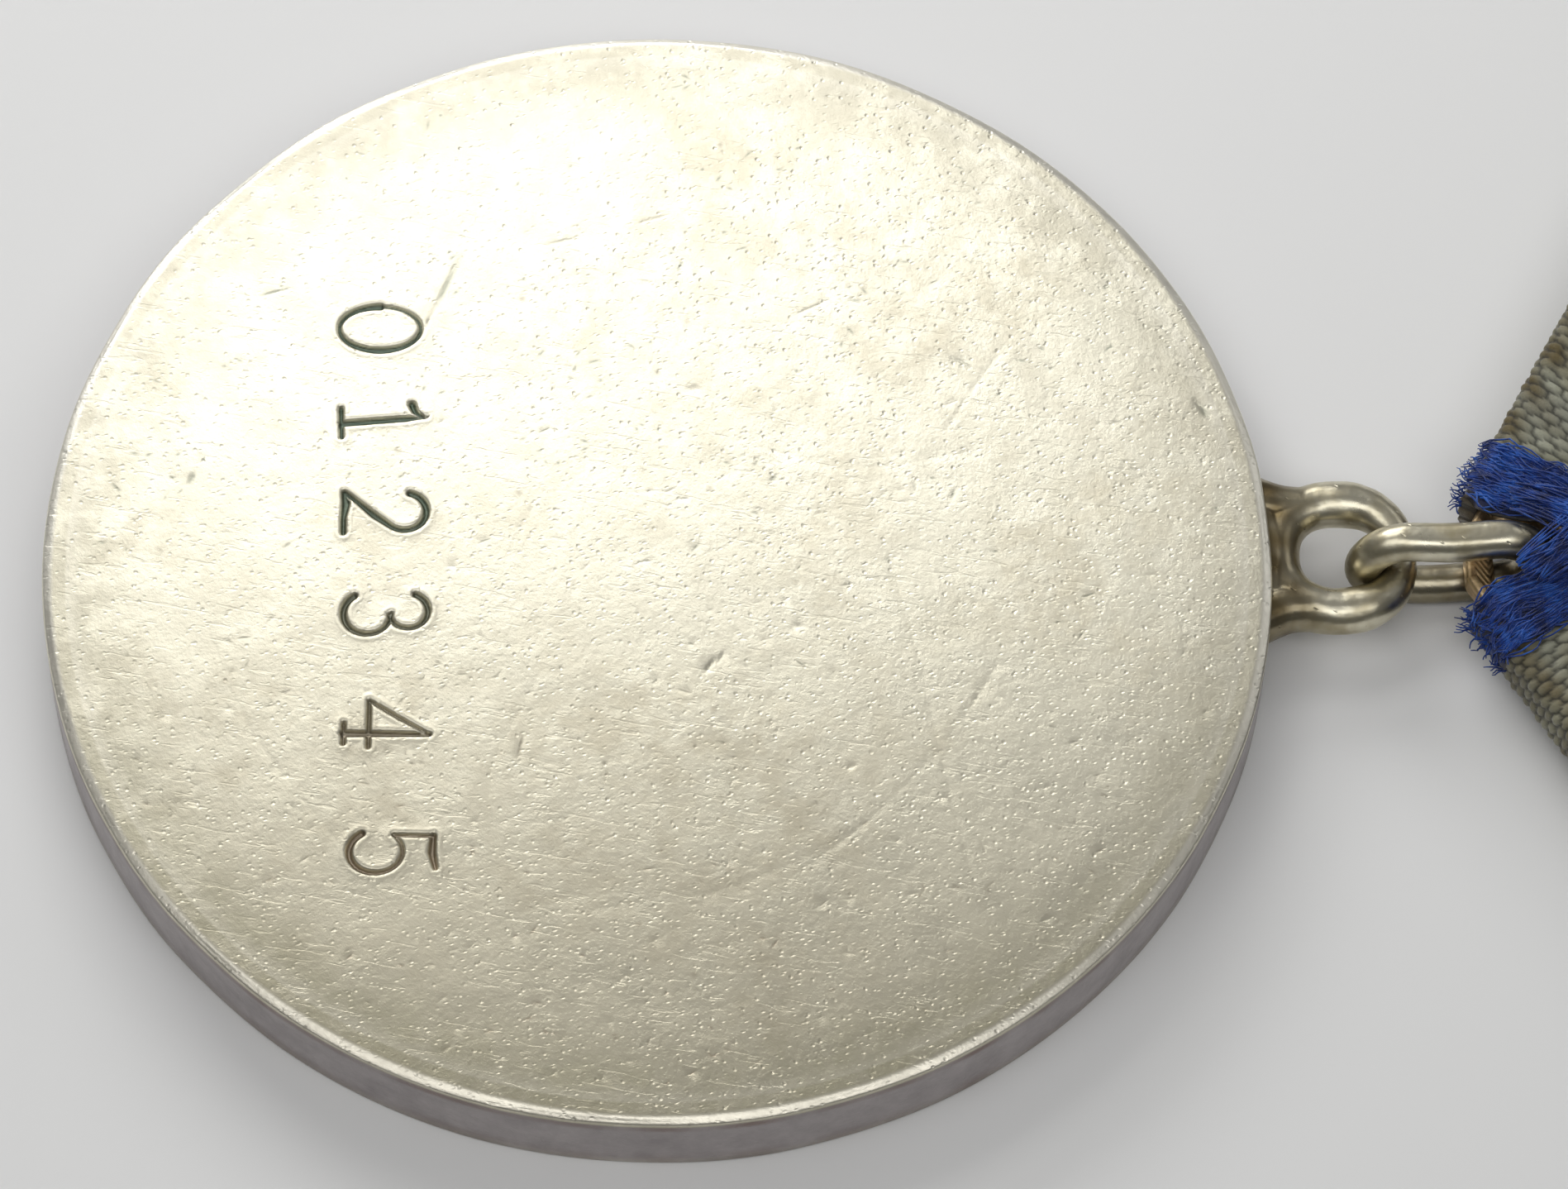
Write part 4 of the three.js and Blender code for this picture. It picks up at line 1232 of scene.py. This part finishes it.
def make_wing(side, low, high, node, material):
    """side 1 is the wing at +Y, whose leg lies over the other one's."""
    edge, out, leg, aside = wing_axes(side)
    front = np.array([math.cos(SIDE_ANGLE), -side * math.sin(SIDE_ANGLE)])
    s = np.linspace(LEG_START, LEG_END, int((LEG_END - LEG_START) / ACROSS_STEP))
    start = np.array([TIP_X, side * TIP_HALF]) + s[:, None] * edge + out * (FOLD_REACH - FOLD_ROUND)
    across = (s - LEG_START) / (LEG_END - LEG_START) * RIBBON_WIDTH
    to_middle = (np.abs(start[:, 1]) - WING_INSET) / math.sin(SIDE_ANGLE)
    to_top = (TOP_X - LAYER_GAP - start[:, 0]) / math.cos(SIDE_ANGLE)
    reach = np.minimum(to_middle, to_top)
    # Soil and painted shade: 0.1 on the front, 0.8 round the fold, fading along the leg behind it.
    sheet = FoldedSheet(start, out, front, reach, 70, low, high, 0.1, 0.8)
    for t in np.linspace(0, LEG_LENGTH, int(LEG_LENGTH / ALONG_STEP))[1:]:
        xy = start + t * leg + edge_bow(across, t)[:, None] * aside
        lift = 0.25 * smoothstep(t, LEG_LENGTH - 2.2, LEG_LENGTH)
        sheet.add(xy, high + lift, (0, 0, 1), sheet.fold_length + t, 0.75 * math.exp(-t) + 0.12)
    outer, normal, along, soil_and_shade = sheet.arrays()
    across = np.tile(across, (len(outer), 1))
    if side > 0:
        over = inside_other_leg(outer[..., 0], outer[..., 1], side)
        drop = (RIBBON_THICKNESS + LAYER_GAP) * (1 - over)
        behind = smoothstep(outer[..., 2], low, high)
        outer[..., 2] -= drop * behind
    ripple(outer, low, high, 0.04, 6.0, 71 + side, 0.03)
    patches = lumps(outer[..., :2].reshape(-1, 2), 1.6, 73).reshape(across.shape)
    soil_and_shade = np.clip(soil_and_shade * (0.8 + 0.5 * patches), 0, 1)
    piece = ribbon_piece(node, outer, normal, across, along, soil_and_shade, material, flip=side > 0)
    front_area = np.trapz(reach, s) * math.sin(V_ANGLE + SIDE_ANGLE)
    behind_length = sheet.fold_length + LEG_LENGTH
    area = front_area + behind_length * RIBBON_WIDTH
    return piece, float(reach.max() + behind_length), float(area)


def make_band(material):
    """The front's middle band, pointed below, hemmed over the plate's top."""
    low, high = BAND_LOW[2], BAND_HIGH[2]
    y = np.linspace(-RIBBON_WIDTH / 2, RIBBON_WIDTH / 2, int(RIBBON_WIDTH / ACROSS_STEP))
    across = y + RIBBON_WIDTH / 2
    lower = TIP_X + (np.abs(y) - TIP_HALF) / math.tan(V_ANGLE) + LAYER_GAP
    lower = np.maximum(lower, HOLE_END_X)
    reach = TOP_X + FOLD_REACH - FOLD_ROUND - lower
    start = np.column_stack([lower + reach, y])
    out = np.array([1.0, 0.0])
    sheet = FoldedSheet(start, out, -out, reach, 120, low, high, BAND_SOIL, BAND_SOIL)
    for t in np.linspace(0, BAND_FLAP - 0.1, int(BAND_FLAP / 0.12))[1:]:
        sheet.add(start - t * out, high, (0, 0, 1), sheet.fold_length + t, BAND_SOIL)
    outer, normal, along, soil_and_shade = sheet.arrays()
    across = np.tile(across, (len(outer), 1))
    ripple(outer, low, high, 0.03, 5.0, 77, 0.02)
    piece = ribbon_piece("ribbon_band", outer, normal, across, along, soil_and_shade, material, flip=False)
    behind_length = sheet.fold_length + BAND_FLAP
    area = np.trapz(reach, y) + behind_length * RIBBON_WIDTH
    return piece, float(reach.max() + behind_length), float(area)


def loose_threads(name, material, threads, radius=0.035):
    """Many thin threads in one piece."""
    shells = [tube(path, np.linspace(radius, radius * 0.5, len(path)), 4) for path in threads]
    points, faces = join_shells(shells)
    piece = new_object(name, points, faces)
    return finish_piece(piece, "mount", material, "ribbon")


def stripe_threads(side, high, rng):
    """Worn blue threads along a leg's lower edge, some standing off the fold."""
    edge, out, leg, aside = wing_axes(side)
    corner = np.array([TIP_X, side * TIP_HALF])
    threads = []
    for _ in range(FRAY_THREADS):
        q = rng.uniform(-0.1, STRIPE_WIDTH)
        begin = rng.uniform(-0.5, 1.6)
        length = rng.uniform(0.8, 3.4)
        bow = rng.normal(0, 0.22)
        rise = abs(rng.normal(0.10, 0.08))
        path = []
        for share in np.linspace(0, 1, 9):
            t = begin + share * length
            push = edge_bow(max(q, 0), t)
            wander = bow * math.sin(math.pi * share) + 0.05 * math.sin(9 * share + q * 20)
            xy = corner + edge * (LEG_START + q) + out * 0.11 + leg * max(t, -0.2) + aside * (push + wander)
            z = high + 0.03 + rise * math.sin(math.pi * share)
            if t < 0:
                xy = xy + out * min(0.45, -t * 0.9)
                z = high - 0.9 * (-t) ** 1.2
            path.append((xy[0], xy[1], z))
        threads.append(path)
    for _ in range(STANDING_THREADS):
        q = rng.uniform(-0.1, STRIPE_WIDTH + 0.1)
        base = corner + edge * (LEG_START + q) + out * 0.52
        z = rng.uniform(1.2, high - 0.1)
        length = rng.uniform(0.2, 0.6)
        way = out * rng.uniform(0.4, 1.0) + edge * rng.normal(-0.1, 0.45)
        path = []
        for share in np.linspace(0, 1, 6):
            curl = 0.12 * math.sin(3 * share + q * 9)
            xy = base + way * share * length + edge * curl * share
            path.append((xy[0], xy[1], z + (rng.normal(0, 0.02) + rng.uniform(-0.1, 0.25) * share) * length))
        threads.append(path)
    return threads


def bundle_threads(high, rng):
    """Threads pulled together over the ring's far end."""
    threads = []
    end = np.array([RING_HIGH[0], 0.0])
    for _ in range(BUNDLE_THREADS):
        side = rng.choice((-1, 1))
        start = end + (rng.uniform(-1.5, -0.3), side * rng.uniform(0.75, 1.7))
        stop = end + (rng.uniform(0.7, 2.8), -side * rng.uniform(-0.5, 1.4))
        crest = rng.uniform(0.15, 0.5)
        bow = rng.normal(0, 0.18)
        path = []
        for share in np.linspace(0, 1, 11):
            xy = start + (stop - start) * share
            xy = xy + np.array([0.3, 0.2]) * bow * math.sin(math.pi * share)
            path.append((xy[0], xy[1], high + crest * math.sin(math.pi * share) ** 0.8 + 0.02))
        threads.append(path)
    return threads


def stitches(starts, direction, high, length, rng):
    """Short sewing stitches: a low arch of thread at each start."""
    threads = []
    for start, top in zip(starts, np.broadcast_to(high, (len(starts),))):
        way = np.array(direction) + rng.normal(0, 0.08, 2)
        path = []
        for share in np.linspace(-0.05, 1.05, 9):
            arch = math.sin(math.pi * np.clip(share, 0, 1)) ** 0.5
            xy = np.array(start) + way * share * length
            path.append((xy[0], xy[1], top - 0.16 + 0.24 * arch))
        threads.append(path)
    return threads


# ---------------------------------------------------------------- the brooch pin
def refined_node(node, name, body, material, slot, voxel=0.06, smooths=5):
    """The CAD node with its facets and sharp edges worn round, as a new piece."""
    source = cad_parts[node].data
    points = np.array([v.co for v in source.vertices]) / MM
    faces = [tuple(p.vertices) for p in source.polygons]
    centre = points.mean(0)
    points, faces = remeshed(points - centre, faces, voxel, smooths)
    points = points + centre
    normal = normals_of(points, faces)
    points = points + normal * (0.02 + 0.008 * lumps(points, 1.2, 91))[:, None]
    shares = {
        "worn": smoothstep(lumps(points, 2.5, 92), 0.2, 0.9) * 0.5,
        "toned": smoothstep(lumps(points, 1.6, 93), 0.3, 1.0) * 0.5,
    }
    piece = new_object(name, points, faces, shares)
    return finish_piece(piece, body, material, slot, node)


# ---------------------------------------------------------------- stage
def make_camera():
    data = bpy.data.cameras.new("camera")
    camera = bpy.data.objects.new("camera", data)
    bpy.context.scene.collection.objects.link(camera)
    data.sensor_width = 36.0
    data.lens = LENS
    data.clip_start, data.clip_end = 0.01, 10.0
    level = math.cos(ELEVATION)
    back = Vector((math.sin(AZIMUTH) * level, -math.cos(AZIMUTH) * level, math.sin(ELEVATION)))
    centre = Vector((*DISC_CENTRE, 0))
    camera.location = (centre + AIM + back * DISTANCE) * MM
    camera.rotation_mode = "QUATERNION"
    camera.rotation_quaternion = (-back).to_track_quat("-Z", "Y") @ Quaternion((0, 0, 1), ROLL)
    bpy.context.scene.camera = camera


def area_light(name, place, target, size, radiance, colour=(1, 1, 1)):
    data = bpy.data.lights.new(name, "AREA")
    data.shape = "RECTANGLE"
    data.size, data.size_y = size[0] * MM, size[1] * MM
    data.energy = radiance * math.pi * data.size * data.size_y
    data.color = colour
    light = bpy.data.objects.new(name, data)
    bpy.context.scene.collection.objects.link(light)
    light.location = Vector(place) * MM
    light.visible_camera = False
    light.rotation_mode = "QUATERNION"
    light.rotation_quaternion = (Vector(target) - Vector(place)).to_track_quat("-Z", "Y")
    return light


def make_world():
    """Soft light all round, darker low down on the near side."""
    world = bpy.data.worlds.new("studio")
    bpy.context.scene.world = world
    world.use_nodes = True
    tree = world.node_tree
    place = tree.nodes.new("ShaderNodeTexCoord")
    split = tree.nodes.new("ShaderNodeSeparateXYZ")
    tree.links.new(place.outputs["Generated"], split.inputs[0])
    blend = tree.nodes.new("ShaderNodeMath")
    blend.operation = "MULTIPLY_ADD"
    tree.links.new(split.outputs["Y"], blend.inputs[0])
    blend.inputs[1].default_value = 0.45
    tree.links.new(split.outputs["Z"], blend.inputs[2])
    shade = tree.nodes.new("ShaderNodeValToRGB")
    shade.color_ramp.elements[0].position = 0.15
    shade.color_ramp.elements[0].color = (WORLD_DARK, WORLD_DARK, WORLD_DARK * 0.95, 1)
    shade.color_ramp.elements[1].position = 0.85
    shade.color_ramp.elements[1].color = (WORLD_LIGHT, WORLD_LIGHT, WORLD_LIGHT, 1)
    tree.links.new(blend.outputs[0], shade.inputs[0])
    tree.links.new(shade.outputs[0], tree.nodes["Background"].inputs["Color"])


def make_floor():
    mesh = bpy.data.meshes.new("floor")
    mesh.from_pydata([(-3, -3, 0), (3, -3, 0), (3, 3, 0), (-3, 3, 0)], [], [(0, 1, 2, 3)])
    floor = bpy.data.objects.new("floor", mesh)
    bpy.context.scene.collection.objects.link(floor)
    look = Looks("paper", roughness=0.9, Specular_IOR_Level=0.1)
    shade = look.noise(0.02, 2.0, 0.5)
    look.set("Base Color", look.mix(shade, (0.87, 0.87, 0.865), (0.84, 0.84, 0.835)))
    mesh.materials.append(look.material)


def make_lights():
    bright = np.array([*(DISC_CENTRE + KEY_SPOT), DISC_THICKNESS])
    place = bright + KEY_DISTANCE * KEY_WAY
    key = area_light("key", place, bright, KEY_SIZE, KEY_RADIANCE, (1.0, 0.995, 0.975))
    key.rotation_quaternion = key.rotation_quaternion @ Quaternion((0, 0, 1), KEY_TURN)
    area_light("overhead", OVERHEAD_PLACE, (15, -20, 0), OVERHEAD_SIZE, OVERHEAD_RADIANCE)
    area_light("window", WINDOW_PLACE, (0, 0, 0), WINDOW_SIZE, WINDOW_RADIANCE)
    area_light("side", SIDE_PLACE, (10, 0, 0), SIDE_SIZE, SIDE_RADIANCE)


# ---------------------------------------------------------------- build
make_camera()
make_world()
make_floor()
make_lights()
bpy.context.scene.view_settings.view_transform = "Standard"

silver = worn_silver()
wire_silver = toned_silver()
plate_brass = rolled_brass("rolled_brass", 0)
fitting_brass = rolled_brass("fitting_brass", 90)
steel = drawn_steel()
silk = silk_ribbon()
loose_silk = blue_silk()
thread = grey_thread()

make_disc(silver)
make_eyelet(wire_silver)
make_ring(wire_silver)
make_plate(plate_brass)
refined_node("pin_bracket", "pin_bracket_worn", "mount", fitting_brass, "brass")
refined_node("pin_catch", "pin_catch_worn", "mount", fitting_brass, "brass")
refined_node("pin_axle", "pin_axle_worn", "mount", steel, "steel", 0.05, 3)
refined_node("pin_needle", "pin_needle_worn", "pin", steel, "steel", 0.05, 3)

left, left_length, left_area = make_wing(1, LEFT_LOW[2], LEFT_HIGH[2], "ribbon_wing_left", silk)
right, right_length, right_area = make_wing(-1, RIGHT_LOW[2], RIGHT_HIGH[2], "ribbon_wing_right", silk)
band, band_length, band_area = make_band(silk)
rng = np.random.default_rng(7)
left_fray = loose_threads("blue_fray_left", loose_silk, stripe_threads(1, LEFT_HIGH[2] - 0.25, rng))
right_fray = loose_threads("blue_fray_right", loose_silk, stripe_threads(-1, RIGHT_HIGH[2], rng))
bundle = loose_threads("blue_bundle", loose_silk, bundle_threads(RING_HIGH[2] - 0.1, rng))

hem_rows = [(TOP_X - BAND_FLAP + 0.9, y) for y in np.arange(-11, 11.1, 2.0)]
hem = loose_threads("hem_stitches", thread, stitches(hem_rows, (0, 1), BAND_HIGH[2], 1.2, rng), 0.11)
